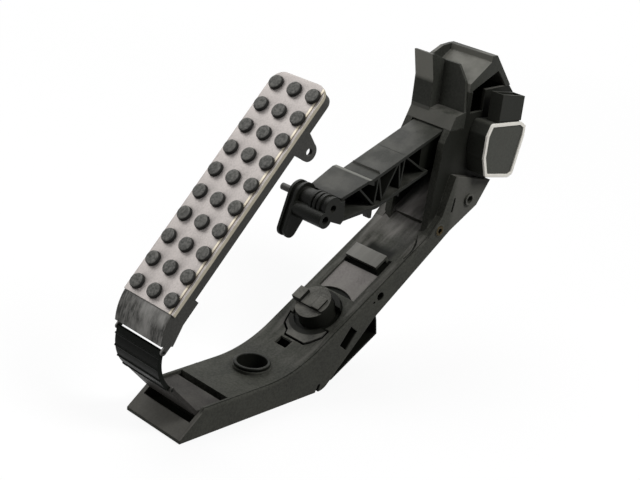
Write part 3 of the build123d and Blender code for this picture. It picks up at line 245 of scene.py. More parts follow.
def tinted(tree, first, second, mask, most=1.0):
    """Colour output that goes from first to second where the mask is strong."""
    mix = tree.nodes.new("ShaderNodeMix")
    mix.data_type = "RGBA"
    for label, colour in (("A", first), ("B", second)):
        feed(tree, mix.inputs[label], (*colour, 1.0) if isinstance(colour, tuple) else colour)
    feed(tree, mix.inputs["Factor"], reckon(tree, "MULTIPLY", mask, most))
    return mix.outputs["Result"]


DUST_TINT = (0.19, 0.185, 0.165)
# Pale colour for worn edges that also paints their highlight, and for painted light on right-facing
# faces.
WEAR_AND_LIGHT_TINT = (0.14, 0.137, 0.125)
GRAIN_SCALE = 1500.0
GRAIN_DEPTH = 0.0004


def moulded(
    name,
    dark,
    light,
    gloss=(0.42, 0.6),
    grain=0.12,
    edge=0.0006,
    cloud=40.0,
    dust=0.25,
    lean=0.35,
    edge_wear_and_light=0.2,
    shine=0.12,
):
    """A moulded plastic or rubber between two tones, with softened edges worn paler that also carry a
    painted highlight.
    """
    material = bpy.data.materials.new(name)
    material.use_nodes = True
    tree = material.node_tree
    shader = tree.nodes["Principled BSDF"]
    shader.inputs["Specular IOR Level"].default_value = shine
    surface = placed(
        tree,
        surface_group,
        cloud_scale=cloud,
        grain_scale=GRAIN_SCALE,
        gloss_low=gloss[0],
        gloss_high=gloss[1],
        edge_radius=edge,
        dust_lean=lean,
    )
    surface.name = "surface"
    colour = tinted(tree, dark, light, surface.outputs["Shade"])
    colour = tinted(tree, colour, DUST_TINT, surface.outputs["Dust"], dust)
    colour = tinted(tree, colour, WEAR_AND_LIGHT_TINT, surface.outputs["Edge"], edge_wear_and_light)
    feed(tree, shader.inputs["Base Color"], colour)
    feed(tree, shader.inputs["Roughness"], surface.outputs["Roughness"])
    relief = tree.nodes.new("ShaderNodeBump")
    relief.inputs["Strength"].default_value = grain
    relief.inputs["Distance"].default_value = GRAIN_DEPTH
    feed(tree, relief.inputs["Height"], surface.outputs["Height"])
    feed(tree, relief.inputs["Normal"], surface.outputs["Normal"])
    feed(tree, shader.inputs["Normal"], relief.outputs["Normal"])
    return material


def dress(node, material):
    """Gives a CAD node its finish."""
    slots = nodes[node].data.materials
    slots.clear()
    slots.append(material)


def streaks(tree, turn, spread, low, high):
    """Mask of long marks that lie along an axis of the frame turned about X."""
    marks = placed(tree, marks_group, turn=(turn, 0.0, 0.0), spread=spread, low=low, high=high)
    return marks.outputs["Mask"]


AXES = {"X": (1.0, 0.0, 0.0), "Y": (0.0, 1.0, 0.0), "Z": (0.0, 0.0, 1.0)}
FAR = 0.3


def band(tree, axis, low, high, fade, turn=0.0):
    """Mask of a slice across an axis of the frame turned about X, open on a side that ends at FAR."""
    return placed(
        tree, slice_group, turn=(turn, 0.0, 0.0), axis=AXES[axis], low=low, high=high, fade=fade
    ).outputs["Mask"]


def facing(tree, direction, low, high):
    """Mask of the faces that look along a direction."""
    return placed(tree, facing_group, direction=direction, low=low, high=high).outputs["Mask"]


def combined(tree, first, *others):
    """Mask that is strong only where all the masks are."""
    for mask in others:
        first = reckon(tree, "MULTIPLY", first, mask)
    return first


def overlay(material, colour, mask, most=1.0):
    """Lays a colour over a material's present colour where the mask is strong."""
    tree = material.node_tree
    base = tree.nodes["Principled BSDF"].inputs["Base Color"]
    feed(tree, base, tinted(tree, base.links[0].from_socket, colour, mask, most))


SLOPE = radians(31.8)
SHARP = 0.0005
SLOPE_START = 0.045
SMEAR_TINT = (0.21, 0.20, 0.185)
HEEL_END = -0.073
SLOT_END = -0.05
LEDGE_RUN = (0.1340, 0.1485)
LEDGE_RISE = (0.0085, 0.05)
LEDGE_HALF = 0.019
LEDGE_HIGHLIGHT = (0.25, 0.245, 0.228)
LINE_PLACE = 0.0268
LINE_HALF = 0.00022
# Near-black colour for painted shade in recesses and on faces turned away from the light.
SHADE_TINT = (0.006, 0.0065, 0.005)
TROUGH_TOP = (0.196, 0.215)
TROUGH_SIDES = (-0.021, 0.012)
TROUGH_LIGHT = (0.42, 0.395, 0.38)
REAR_RUN = (0.175, 0.25)
REAR_RISE = (0.10, 0.16)
FLANK = 0.0275
TOWER_FOOT = 0.115
HOLLOW_TOP = 0.005
HOLLOW_RUN = (0.03, 0.13)
SLOT_FLOOR = 0.0064
housing_black = moulded(
    "housing_black",
    (0.020, 0.0205, 0.017),
    (0.056, 0.057, 0.048),
    edge=0.0009,
    dust=0.08,
    edge_wear_and_light=0.35,
    shine=0.05,
)
housing_tree = housing_black.node_tree
housing_up = housing_tree.nodes["surface"].outputs["Upward"]
housing_right = facing(housing_tree, AXES["X"], low=0.5, high=0.9)
smears = combined(
    housing_tree,
    streaks(housing_tree, -SLOPE, spread=(150.0, 9.0, 40.0), low=0.47, high=0.70),
    band(housing_tree, "Y", SLOPE_START, FAR, fade=0.03),
    housing_up,
)
overlay(housing_black, SMEAR_TINT, smears, most=0.55)
# A pool of painted light, broken by streaks, on the upward faces at the top of the trough under the
# lever.
trough_light = combined(
    housing_tree,
    band(housing_tree, "Y", *TROUGH_TOP, fade=0.03, turn=-SLOPE),
    streaks(housing_tree, -SLOPE, spread=(90.0, 12.0, 40.0), low=0.34, high=0.62),
    band(housing_tree, "X", *TROUGH_SIDES, fade=0.008),
    housing_up,
)
overlay(housing_black, TROUGH_LIGHT, trough_light, most=0.8)
# A thin line of painted shade along the deck's right arris, where a groove would sit.
arris_shade = band(housing_tree, "X", LINE_PLACE - LINE_HALF, LINE_PLACE + LINE_HALF, fade=LINE_HALF)
overlay(housing_black, SHADE_TINT, combined(housing_tree, arris_shade, housing_up))
heel = combined(housing_tree, band(housing_tree, "Y", -FAR, HEEL_END, fade=0.002), housing_up)
overlay(housing_black, SMEAR_TINT, heel, most=0.5)
# Painted highlight on the upward faces of the ledge.
ledge_highlight = combined(
    housing_tree,
    band(housing_tree, "Y", *LEDGE_RUN, fade=SHARP, turn=-SLOPE),
    band(housing_tree, "Z", *LEDGE_RISE, fade=SHARP, turn=-SLOPE),
    band(housing_tree, "X", -LEDGE_HALF, LEDGE_HALF, fade=SHARP),
    housing_up,
)
overlay(housing_black, LEDGE_HIGHLIGHT, ledge_highlight, most=0.65)
# Painted light on the housing's right-facing faces, stronger on the rear flank.
rear_flank_light = combined(
    housing_tree,
    band(housing_tree, "Y", *REAR_RUN, fade=0.005),
    band(housing_tree, "Z", *REAR_RISE, fade=0.01),
    housing_right,
)
overlay(housing_black, WEAR_AND_LIGHT_TINT, rear_flank_light, most=0.4)
overlay(housing_black, WEAR_AND_LIGHT_TINT, housing_right, most=0.1)
# Painted shadow on the tower's right-facing wall, where the sensor shades it.
tower_side_shadow = combined(
    housing_tree,
    band(housing_tree, "Z", TOWER_FOOT, FAR, fade=0.01),
    band(housing_tree, "X", -FAR, FLANK, fade=SHARP),
    housing_right,
)
overlay(housing_black, SHADE_TINT, tower_side_shadow, most=0.85)
# Painted shade on the housing's inner faces below the deck.
hollow_shade = combined(
    housing_tree,
    band(housing_tree, "Z", -FAR, HOLLOW_TOP, fade=0.001, turn=-SLOPE),
    band(housing_tree, "X", -FLANK, FLANK, fade=SHARP),
    band(housing_tree, "Y", *HOLLOW_RUN, fade=0.005),
)
overlay(housing_black, SHADE_TINT, hollow_shade)
# Painted shade on the upward floor of the slot at the heel.
slot_shade = combined(
    housing_tree,
    band(housing_tree, "Z", -FAR, SLOT_FLOOR, fade=SHARP),
    band(housing_tree, "Y", HEEL_END, SLOT_END, fade=SHARP),
    housing_up,
)
overlay(housing_black, SHADE_TINT, slot_shade)
dress("base_housing", housing_black)

# Hinge foot: a black moulding whose spigot drops into the slot at the heel.
# Its inclined plate carries the strap's lower hinge and is dulled by shoes.
FOOT_FRONT = 0.014
TO_DRIVER = (0.0, -1.0, 0.0)
foot_black = moulded(
    "foot_black", (0.024, 0.023, 0.021), (0.046, 0.043, 0.040), dust=0.14, edge_wear_and_light=0.4, shine=0.05
)
foot_tree = foot_black.node_tree
# Painted shade on the low, front-facing faces of the foot.
foot_front_shade = combined(
    foot_tree,
    band(foot_tree, "Z", -FAR, FOOT_FRONT, fade=0.002),
    facing(foot_tree, TO_DRIVER, low=0.8, high=0.95),
)
overlay(foot_black, SHADE_TINT, foot_front_shade, most=0.9)
dress("hinge_foot", foot_black)

# Front fixing bush: a smooth moulded well with a rim, pressed into the deck.
# The nut of the front fixing goes down inside it.
bush_black = moulded(
    "bush_black",
    (0.012, 0.013, 0.011),
    (0.024, 0.025, 0.021),
    gloss=(0.32, 0.45),
    dust=0.15,
    edge_wear_and_light=0.5,
    shine=0.06,
)


def shade_sides(material, most):
    """Paints shade on the faces that look sideways or down, darkening them towards black."""
    overlay(material, SHADE_TINT, material.node_tree.nodes["surface"].outputs["Sideways"], most)


# Painted shade on the bush's sides; its paler rim also paints a highlight.
shade_sides(bush_black, most=0.7)
dress("fixing_bush", bush_black)

# Trough cover: a thin plate of plain grey-brown plastic clipped below the ledge.
# It lies in the trough of the sloped deck and has dulled with age.
cover_grey = moulded(
    "cover_grey", (0.115, 0.106, 0.101), (0.175, 0.163, 0.155), gloss=(0.5, 0.65), dust=0.4
)
rubs = streaks(cover_grey.node_tree, -SLOPE, spread=(120.0, 14.0, 40.0), low=0.42, high=0.72)
overlay(cover_grey, SMEAR_TINT, rubs, most=0.45)
dress("trough_cover", cover_grey)

# Kickdown switch: a cap in a flanged cup on the slope, both black acetal.
# The cap slides down over a coil spring when the lever's tail presses its pad.
cup_black = moulded(
    "cup_black", (0.035, 0.035, 0.031), (0.085, 0.084, 0.077), dust=0.7, edge_wear_and_light=0.4, shine=0.05
)
cap_black = moulded(
    "cap_black",
    (0.055, 0.054, 0.047),
    (0.150, 0.147, 0.132),
    edge=0.0008,
    dust=0.75,
    edge_wear_and_light=0.4,
    shine=0.06,
)
SWITCH_AXIS = Vector((0.0, 0.0636, 0.048773))
WELL_TOP = 0.0066
WELL_RADIUS = 0.0222
WELL_FADE = 0.0008


def laid(tree, turn, centre):
    """Object coordinates in a frame turned about X, with its origin at the centre."""
    lay = tree.nodes.new("ShaderNodeMapping")
    lay.inputs["Rotation"].default_value = (turn, 0.0, 0.0)
    lay.inputs["Location"].default_value = -(Matrix.Rotation(turn, 3, "X") @ centre)
    feed(tree, lay.inputs["Vector"], tree.nodes.new("ShaderNodeTexCoord").outputs["Object"])
    return lay.outputs["Vector"]


def reach(tree, vector):
    """Output of a vector's length."""
    node = tree.nodes.new("ShaderNodeVectorMath")
    node.operation = "LENGTH"
    feed(tree, node.inputs[0], vector)
    return node.outputs["Value"]


cup_tree = cup_black.node_tree
# Painted shade in the well below the cap and in a ring round it.
well_shade = band(cup_tree, "Z", -FAR, WELL_TOP, fade=SHARP, turn=-SLOPE)
overlay(cup_black, SHADE_TINT, well_shade)
cup_flat = cup_tree.nodes.new("ShaderNodeVectorMath")
cup_flat.operation = "MULTIPLY"
cup_flat.inputs[1].default_value = (1.0, 1.0, 0.0)
feed(cup_tree, cup_flat.inputs[0], laid(cup_tree, -SLOPE, SWITCH_AXIS))
from_axis = reach(cup_tree, cup_flat.outputs["Vector"])
cap_gap_shade = ramp(cup_tree, from_axis, low=WELL_RADIUS + WELL_FADE, high=WELL_RADIUS)
overlay(cup_black, SHADE_TINT, cap_gap_shade, most=0.9)
# Painted shade on the cap's sides, so that only its top reads light.
shade_sides(cap_black, most=0.95)
dress("kickdown_body", cup_black)
dress("kickdown_cap", cap_black)

# Strap: black polypropylene with film hinges at both ends, left glossy by the mould.
# Low ridges run across its front.
strap_black = moulded(
    "strap_black",
    (0.004, 0.005, 0.004),
    (0.010, 0.011, 0.009),
    gloss=(0.24, 0.38),
    dust=0.0,
    edge_wear_and_light=0.06,
    shine=0.03,
)
dress("hinge_strap", strap_black)

# Tread carrier: the ribbed black tray that the tread lies on, with a nose at its foot.
# Shoes have scuffed the nose to a smeared pale grey.
NOSE_LOW = 0.06
NOSE_TOP = 0.0977
NOSE_FADE = 0.0008
NOSE_TURN = 0.4
SCUFF_TINT = (0.36, 0.352, 0.335)
carrier_black = moulded(
    "carrier_black",
    (0.040, 0.040, 0.037),
    (0.066, 0.065, 0.060),
    grain=0.35,
    edge=0.001,
    edge_wear_and_light=0.6,
    shine=0.08,
)
carrier_tree = carrier_black.node_tree
nose = combined(
    carrier_tree,
    band(carrier_tree, "Z", NOSE_LOW, NOSE_TOP, fade=NOSE_FADE),
    facing(carrier_tree, TO_DRIVER, low=0.25, high=0.5),
)
for spread, low, high, most in (
    ((110.0, 70.0, 70.0), 0.40, 0.66, 0.75),
    ((800.0, 170.0, 170.0), 0.42, 0.72, 0.5),
):
    scuffs = streaks(carrier_tree, NOSE_TURN, spread, low, high)
    overlay(carrier_black, SCUFF_TINT, combined(carrier_tree, nose, scuffs), most)
dress("pedal_carrier", carrier_black)

# Stud mat: one rubber moulding, a thin mat whose thirty studs stand through the sheet.
# The studs are dark grey with rounded, slightly worn rims that also carry a painted highlight, and
# painted shade on their sides.
TREAD_CENTRE = Vector((0.0, -0.04242, 0.16756))
TREAD_LEAN = radians(48.13)
MAT_HALF_WIDTH = 0.0244
MAT_LOW = -0.0915
MAT_HIGH = 0.0922
MAT_CORNER = 0.009
MAT_BASE = -0.0037
MAT_TOP = -0.00225
STUD_RADIUS = 0.00535
STUD_TOP = 0.0019
STUD_RIM = 0.0011
STUD_CROWN = 0.0004
STUD_ROUND = 0.0006
STUD_PITCH = (0.018, 0.0185)
STUD_COLUMNS = 3
STUD_ROWS = 10
STUD_SIDES = 32
TOP_FACE = 0.9
STUD_SHADE = (0.014, 0.014, 0.013)


def pick_faces(piece, wanted):
    """Selects the faces that suit and stays in edit mode."""
    bpy.ops.object.mode_set(mode="EDIT")
    bpy.ops.mesh.select_mode(type="FACE")
    bpy.ops.mesh.select_all(action="DESELECT")
    bpy.ops.object.mode_set(mode="OBJECT")
    for face in piece.data.polygons:
        face.select = wanted(face)
    bpy.ops.object.mode_set(mode="EDIT")


def apply_rounding(piece, width, segments, angle):
    """Rounds the sharp edges of a piece with an applied bevel."""
    bpy.ops.object.modifier_add(type="BEVEL")
    rounding = piece.modifiers[-1]
    rounding.width = width
    rounding.segments = segments
    rounding.limit_method = "ANGLE"
    rounding.angle_limit = angle
    bpy.ops.object.modifier_apply(modifier=rounding.name)


bpy.ops.object.select_all(action="DESELECT")
bpy.ops.mesh.primitive_cylinder_add(
    vertices=STUD_SIDES,
    radius=STUD_RADIUS,
    depth=STUD_TOP - STUD_CROWN - MAT_BASE,
    location=(0.0, 0.0, (STUD_TOP - STUD_CROWN + MAT_BASE) / 2),
)
stud = bpy.context.object
bpy.ops.object.transform_apply(location=True, rotation=True, scale=True)
pick_faces(stud, lambda face: face.normal.z > TOP_FACE)
bpy.ops.mesh.inset(thickness=STUD_RIM)
bpy.ops.transform.translate(value=(0.0, 0.0, STUD_CROWN))
bpy.ops.object.mode_set(mode="OBJECT")
apply_rounding(stud, STUD_ROUND, segments=3, angle=radians(15.0))

mat_thick = MAT_TOP - MAT_BASE
mat_middle = (0.0, (MAT_HIGH + MAT_LOW) / 2, (MAT_BASE + MAT_TOP) / 2)
bpy.ops.object.select_all(action="DESELECT")
bpy.ops.mesh.primitive_cube_add(size=1.0, location=mat_middle)
stud_mat = bpy.context.object
stud_mat.name = "studded_mat"
stud_mat.scale = (2 * MAT_HALF_WIDTH, MAT_HIGH - MAT_LOW, mat_thick)
bpy.ops.object.transform_apply(location=True, rotation=True, scale=True)
bpy.ops.object.mode_set(mode="EDIT")
bpy.ops.mesh.select_mode(type="EDGE")
bpy.ops.mesh.select_all(action="DESELECT")
bpy.ops.object.mode_set(mode="OBJECT")
corners = stud_mat.data.vertices
for edge in stud_mat.data.edges:
    low, high = (corners[index].co for index in edge.vertices)
    edge.select = abs(low.z - high.z) > mat_thick / 2 and low.y > 0.0
bpy.ops.object.mode_set(mode="EDIT")
bpy.ops.mesh.bevel(offset=MAT_CORNER, segments=6)
bpy.ops.object.mode_set(mode="OBJECT")

bpy.ops.object.select_all(action="DESELECT")
for row in range(STUD_ROWS):
    for column in range(STUD_COLUMNS):
        copy = stud.copy()
        copy.data = stud.data.copy()
        bpy.context.scene.collection.objects.link(copy)
        copy.location = (
            (column - (STUD_COLUMNS - 1) / 2) * STUD_PITCH[0],
            (row - (STUD_ROWS - 1) / 2) * STUD_PITCH[1],
            0.0,
        )
        copy.select_set(True)
stud_mat.select_set(True)
bpy.context.view_layer.objects.active = stud_mat
bpy.ops.object.join()
bpy.data.objects.remove(stud)
stud_mat.matrix_world = Matrix.Translation(TREAD_CENTRE) @ Matrix.Rotation(TREAD_LEAN, 4, "X")
bpy.ops.object.transform_apply(location=True, rotation=True, scale=True)
bpy.ops.object.shade_smooth_by_angle(angle=radians(40.0))
stud_rubber = moulded(
    "stud_rubber",
    (0.030, 0.030, 0.028),
    (0.170, 0.168, 0.157),
    gloss=(0.55, 0.7),
    cloud=420.0,
    edge=0.0009,
    dust=0.3,
    edge_wear_and_light=0.4,
)
stud_tree = stud_rubber.node_tree
tread_normal = Matrix.Rotation(TREAD_LEAN, 3, "X") @ Vector((0.0, 0.0, 1.0))
# Painted shade on the studs' sides, which face away from the tread's normal.
overlay(stud_rubber, STUD_SHADE, facing(stud_tree, tread_normal, low=0.85, high=0.35))
stud_mat.data.materials.clear()
stud_mat.data.materials.append(stud_rubber)
dress("stud_mat", stud_rubber)
dress("stop_buffer", stud_rubber)
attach(stud_mat, "pedal")
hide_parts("stud_mat")

# Tread plate: stainless sheet, brushed along its length and folded over at the rim.
# Fine streaks run up the slope of the tread, with cloudy patches from wear.
# Painted shade rings each stud; the rim carries a painted glint and the fold's side a painted
# reflection.


def drawn_metal():
    """Shared surface of the metals: fine lines along the turned Y axis, worn patches and gloss."""
    group, given, out = node_group(
        "drawn_metal",
        {
            "Turn": "Vector",
            "Streak": "Vector",
            "Cloud Scale": "Float",
            "Gloss Low": "Float",
            "Gloss High": "Float",
            "Edge Radius": "Float",
        },
        {"Lines": "Float", "Patches": "Float", "Roughness": "Float", "Normal": "Vector"},
    )
    place = group.nodes.new("ShaderNodeTexCoord").outputs["Object"]
    lay = group.nodes.new("ShaderNodeMapping")
    feed(group, lay.inputs["Vector"], place)
    feed(group, lay.inputs["Rotation"], given["Turn"])
    feed(group, lay.inputs["Scale"], given["Streak"])
    lines = noise(group, lay.outputs["Vector"], detail=3.0, scale=1.0)
    feed(group, out["Lines"], ramp(group, lines, low=0.32, high=0.68))
    feed(group, out["Patches"], noise(group, place, detail=4.0, scale=given["Cloud Scale"]))
    gloss = ramp(group, lines, low=0.3, high=0.7, first=given["Gloss Low"], last=given["Gloss High"])
    feed(group, out["Roughness"], gloss)
    rounding = group.nodes.new("ShaderNodeBevel")
    rounding.samples = 6
    feed(group, rounding.inputs["Radius"], given["Edge Radius"])
    feed(group, out["Normal"], rounding.outputs["Normal"])
    return group


metal_group = drawn_metal()
METAL_EDGE = 0.0006
METAL_GRAIN = 0.06
METAL_DEPTH = 0.0002


def brushed(name, colour, gloss, turn, streak, cloud=35.0, fade=0.8):
    """A brushed or drawn metal with streaks along the Y axis of the frame turned about X."""
    material = bpy.data.materials.new(name)
    material.use_nodes = True
    tree = material.node_tree
    shader = tree.nodes["Principled BSDF"]
    shader.inputs["Metallic"].default_value = 1.0
    surface = placed(
        tree,
        metal_group,
        turn=(turn, 0.0, 0.0),
        streak=streak,
        cloud_scale=cloud,
        gloss_low=gloss[0],
        gloss_high=gloss[1],
        edge_radius=METAL_EDGE,
    )
    worn = tuple(channel * fade for channel in colour)
    tint = tinted(tree, worn, colour, surface.outputs["Lines"])
    tint = tinted(tree, tint, worn, surface.outputs["Patches"], most=0.6)
    feed(tree, shader.inputs["Base Color"], tint)
    feed(tree, shader.inputs["Roughness"], surface.outputs["Roughness"])
    relief = tree.nodes.new("ShaderNodeBump")
    relief.inputs["Strength"].default_value = METAL_GRAIN
    relief.inputs["Distance"].default_value = METAL_DEPTH
    feed(tree, relief.inputs["Height"], surface.outputs["Lines"])
    feed(tree, relief.inputs["Normal"], surface.outputs["Normal"])
    feed(tree, shader.inputs["Normal"], relief.outputs["Normal"])
    return material


tread_steel = brushed(
    "tread_steel",
    (0.40, 0.37, 0.354),
    gloss=(0.48, 0.62),
    turn=-TREAD_LEAN,
    streak=(900.0, 25.0, 900.0),
    fade=0.7,
)
PILLOW_DEPTH = 0.00035
STUD_RING_SHADE = (0.055, 0.050, 0.045)
RIM_LIGHT = (0.0213, 0.0227)
RIM_GROOVE = (0.0230, 0.0237)
RIM_FADE = 0.0002
RIM_TINT = (0.10, 0.075, 0.045)
RIM_GLINT = (0.66, 0.60, 0.47)
FOLD_REFLECTION = (0.33, 0.30, 0.21)


def pillow_sheet(material):
    """Presses the sheet down a little round each stud, and paints shade in a ring round each stud's
    foot.
    """
    tree = material.node_tree
    normal = tree.nodes["Principled BSDF"].inputs["Normal"]
    split = tree.nodes.new("ShaderNodeSeparateXYZ")
    feed(tree, split.inputs["Vector"], laid(tree, -TREAD_LEAN, TREAD_CENTRE))
    waves = []
    for axis, pitch, shift in (("X", STUD_PITCH[0], 0.0), ("Y", STUD_PITCH[1], pi)):
        turns = reckon(tree, "MULTIPLY", split.outputs[axis], 2 * pi / pitch)
        waves.append(reckon(tree, "COSINE", reckon(tree, "ADD", turns, shift), 0.0))
    near_stud = reckon(tree, "ADD", *waves)
    press = tree.nodes.new("ShaderNodeBump")
    press.invert = True
    press.inputs["Distance"].default_value = PILLOW_DEPTH
    feed(tree, press.inputs["Height"], near_stud)
    feed(tree, press.inputs["Normal"], normal.links[0].from_socket)
    feed(tree, normal, press.outputs["Normal"])
    overlay(material, STUD_RING_SHADE, ramp(tree, near_stud, low=0.25, high=0.85), most=0.4)


pillow_sheet(tread_steel)
steel_tree = tread_steel.node_tree
# A painted glint along the rim, a dark line in its groove, and a painted reflection on the fold's
# right-facing side.
overlay(tread_steel, RIM_GLINT, band(steel_tree, "X", *RIM_LIGHT, fade=RIM_FADE), most=0.7)
overlay(tread_steel, RIM_TINT, band(steel_tree, "X", *RIM_GROOVE, fade=RIM_FADE), most=0.8)
overlay(tread_steel, FOLD_REFLECTION, facing(steel_tree, AXES["X"], low=0.3, high=0.8), most=0.6)
dress("tread_plate", tread_steel)

# Lever: one black moulding, an open-sided channel with zigzag ribs, and its link pin.
# It turns on a steel shaft; springs, rotor and magnet sit out of sight in tower and sensor.
LEVER_EYE = 0.058
CREST_RUN = (0.0834, 0.0856)
CREST_FADE = 0.0012
CREST_LOW = 0.15
CREST_HIGHLIGHT = (0.20, 0.20, 0.18)
LID_FRONT = (0.0976, 0.0986)
lever_black = moulded(
    "lever_black",
    (0.020, 0.0205, 0.017),
    (0.034, 0.035, 0.030),
    gloss=(0.34, 0.48),
    dust=0.25,
    shine=0.09,
)
pin_black = moulded(
    "pin_black", (0.040, 0.040, 0.036), (0.065, 0.065, 0.060), gloss=(0.3, 0.42), dust=0.1
)
# Painted shade on the lever's sideways and downward faces.
shade_sides(lever_black, most=0.75)
lever_tree = lever_black.node_tree
# Painted shade on the lever's front end, round its eye.
overlay(lever_black, SHADE_TINT, band(lever_tree, "Y", -FAR, LEVER_EYE, fade=0.004), most=0.6)
lever_up = lever_tree.nodes["surface"].outputs["Upward"]
# Painted highlight along the crest of the lever's lip.
crest_highlight = combined(
    lever_tree,
    band(lever_tree, "Y", *CREST_RUN, fade=CREST_FADE),
    band(lever_tree, "Z", CREST_LOW, FAR, fade=SHARP),
    lever_up,
)
overlay(lever_black, CREST_HIGHLIGHT, crest_highlight, most=0.8)
# Painted light on the front face of the step up to the lid, lifting it out of its shade.
lid_front_light = combined(
    lever_tree,
    band(lever_tree, "Y", *LID_FRONT, fade=SHARP),
    facing(lever_tree, TO_DRIVER, low=0.5, high=0.9),
)
overlay(lever_black, CREST_HIGHLIGHT, lid_front_light, most=0.6)
dress("lever_arm", lever_black)
dress("link_pin", pin_black)
wire_steel = brushed(
    "wire_steel", (0.45, 0.45, 0.46), gloss=(0.3, 0.45), turn=0.0, streak=(900.0, 900.0, 900.0)
)
shaft_steel = brushed(
    "shaft_steel", (0.33, 0.33, 0.33), gloss=(0.25, 0.35), turn=0.0, streak=(60.0, 1500.0, 1500.0)
)
dress("lever_shaft", shaft_steel)
dress("return_springs", wire_steel)
rotor_pale = moulded("rotor_pale", (0.52, 0.51, 0.47), (0.6, 0.59, 0.55), dust=0.0, edge_wear_and_light=0.0)
magnet_grey = moulded("magnet_grey", (0.045, 0.045, 0.047), (0.07, 0.07, 0.072), dust=0.0)
dress("sensor_rotor", rotor_pale)
dress("rotor_magnet", magnet_grey)

# Kickdown spring: round steel wire in four turns, squeezed between the cup and the cap.
WIRE_RADIUS = 0.0008
COIL_RADIUS = 0.008
COIL_LOW = -0.0118
COIL_TOP = 0.0086
COIL_TURNS = 4
COIL_STEPS = 28
WIRE_SIDES = 12
coil_rise = COIL_TOP - COIL_LOW - 2 * WIRE_RADIUS
bpy.ops.object.select_all(action="DESELECT")
bpy.ops.mesh.primitive_circle_add(
    vertices=WIRE_SIDES,
    radius=WIRE_RADIUS,
    location=(COIL_RADIUS, 0.0, COIL_LOW + WIRE_RADIUS),
    rotation=(radians(90.0), 0.0, 0.0),
)
coil = bpy.context.object
coil.name = "coil_spring"
bpy.ops.object.transform_apply(location=True, rotation=True, scale=True)
bpy.ops.object.modifier_add(type="SCREW")
winding = coil.modifiers[-1]
winding.screw_offset = coil_rise / COIL_TURNS
winding.iterations = COIL_TURNS
winding.steps = COIL_STEPS
winding.render_steps = COIL_STEPS
bpy.ops.object.modifier_apply(modifier=winding.name)
bpy.ops.object.mode_set(mode="EDIT")
bpy.ops.mesh.select_all(action="SELECT")
bpy.ops.mesh.fill_holes(sides=0)
bpy.ops.mesh.normals_make_consistent(inside=False)
bpy.ops.object.mode_set(mode="OBJECT")
deck_turn = Matrix.Rotation(SLOPE, 4, "X")
coil.matrix_world = Matrix.Translation(SWITCH_AXIS) @ deck_turn
bpy.ops.object.transform_apply(location=True, rotation=True, scale=True)
bpy.ops.object.shade_smooth_by_angle(angle=radians(50.0))
coil.data.materials.append(wire_steel)
dress("kickdown_spring", wire_steel)
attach(coil, "base")
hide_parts("kickdown_spring")
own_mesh(coil)

# Brass: the small bush in the side wall, the shaft's bearings and the terminals.
# All are turned or stamped, and tarnished to a brown gold.
brass = brushed(
    "brass",
    (0.06, 0.042, 0.015),
    gloss=(0.35, 0.55),
    turn=0.0,
    streak=(700.0, 700.0, 700.0),
    cloud=300.0,
    fade=0.45,
)
dress("side_bush", brass)
dress("shaft_bushes", brass)
dress("connector_pins", brass)

# Tower mouldings: the cover with its lip and the hood on top, clipped together.
# They are of the same black nylon as the base, with painted highlights on the cover's fin and lip and
# the hood's front faces.
tower_black = moulded(
    "tower_black",
    (0.024, 0.025, 0.021),
    (0.042, 0.043, 0.037),
    gloss=(0.36, 0.5),
    dust=0.6,
    lean=0.0,
    shine=0.08,
)
LIP_SPAN = (0.183, 0.1945)
LIP_HIGHLIGHT = (0.12, 0.118, 0.106)
FIN_RISE = (0.2175, 0.24)
FIN_RUN = (0.15, 0.172)
FIN_HIGHLIGHT = (0.23, 0.226, 0.20)
cover_black = tower_black.copy()
cover_black.name = "cover_black"
cover_tree = cover_black.node_tree
cover_ahead = facing(cover_tree, TO_DRIVER, low=0.3, high=0.8)
# Painted highlights on the front faces of the cover's fin and lip.
fin_highlight = combined(
    cover_tree,
    band(cover_tree, "Z", *FIN_RISE, fade=0.004),
    band(cover_tree, "Y", *FIN_RUN, fade=0.002),
    cover_ahead,
)
overlay(cover_black, FIN_HIGHLIGHT, fin_highlight)
lip_highlight = combined(cover_tree, band(cover_tree, "Z", *LIP_SPAN, fade=0.001), cover_ahead)
overlay(cover_black, LIP_HIGHLIGHT, lip_highlight, most=0.6)
hood_black = tower_black.copy()
hood_black.name = "hood_black"
# Painted highlight on the hood's front-facing faces.
hood_ahead = facing(hood_black.node_tree, TO_DRIVER, low=0.3, high=0.8)
overlay(hood_black, FIN_HIGHLIGHT, hood_ahead, most=0.6)
dress("tower_cover", cover_black)
dress("tower_cap", hood_black)

# Sensor: black housing and cover with a pale frame between them, whose pale colour paints the
# highlight along the cover's edge.
# Its board lies behind the cover, facing the magnet.
sensor_black = moulded(
    "sensor_black", (0.024, 0.025, 0.021), (0.040, 0.041, 0.035), dust=0.15, shine=0.08
)
pale_seal_highlight = moulded(
    "pale_seal_highlight",
    (0.82, 0.79, 0.72),
    (0.90, 0.875, 0.81),
    gloss=(0.4, 0.55),
    grain=0.05,
    dust=0.0,
    edge_wear_and_light=0.0,
)
board_green = moulded("board_green", (0.01, 0.06, 0.03), (0.015, 0.09, 0.045), dust=0.0, edge_wear_and_light=0.0)
# Painted shade on the sensor housing's sideways faces.
shade_sides(sensor_black, most=0.5)
dress("sensor_housing", sensor_black)
lid_black = moulded("lid_black", (0.046, 0.047, 0.040), (0.066, 0.067, 0.058), dust=0.2)
dress("sensor_cover", lid_black)
dress("cover_seal", pale_seal_highlight)
dress("sensor_board", board_green)

# Studio: a plain white floor and world, and three soft boxes: a wide one above on the left,
# a small one above on the right and a weak one ahead of the heel. The floor shows white, with a
# faint soft shadow that fades away from the part.
FLOOR_SIZE = 8.0
FLOOR_DROP = 0.0005
FLOOR_WHITE = 0.95
FLOOR_BOUNCE = 0.2
SHADOW_SHARE = 0.12
SHADOW_FADE = (1.2, 0.3)
AMBIENT = 0.1


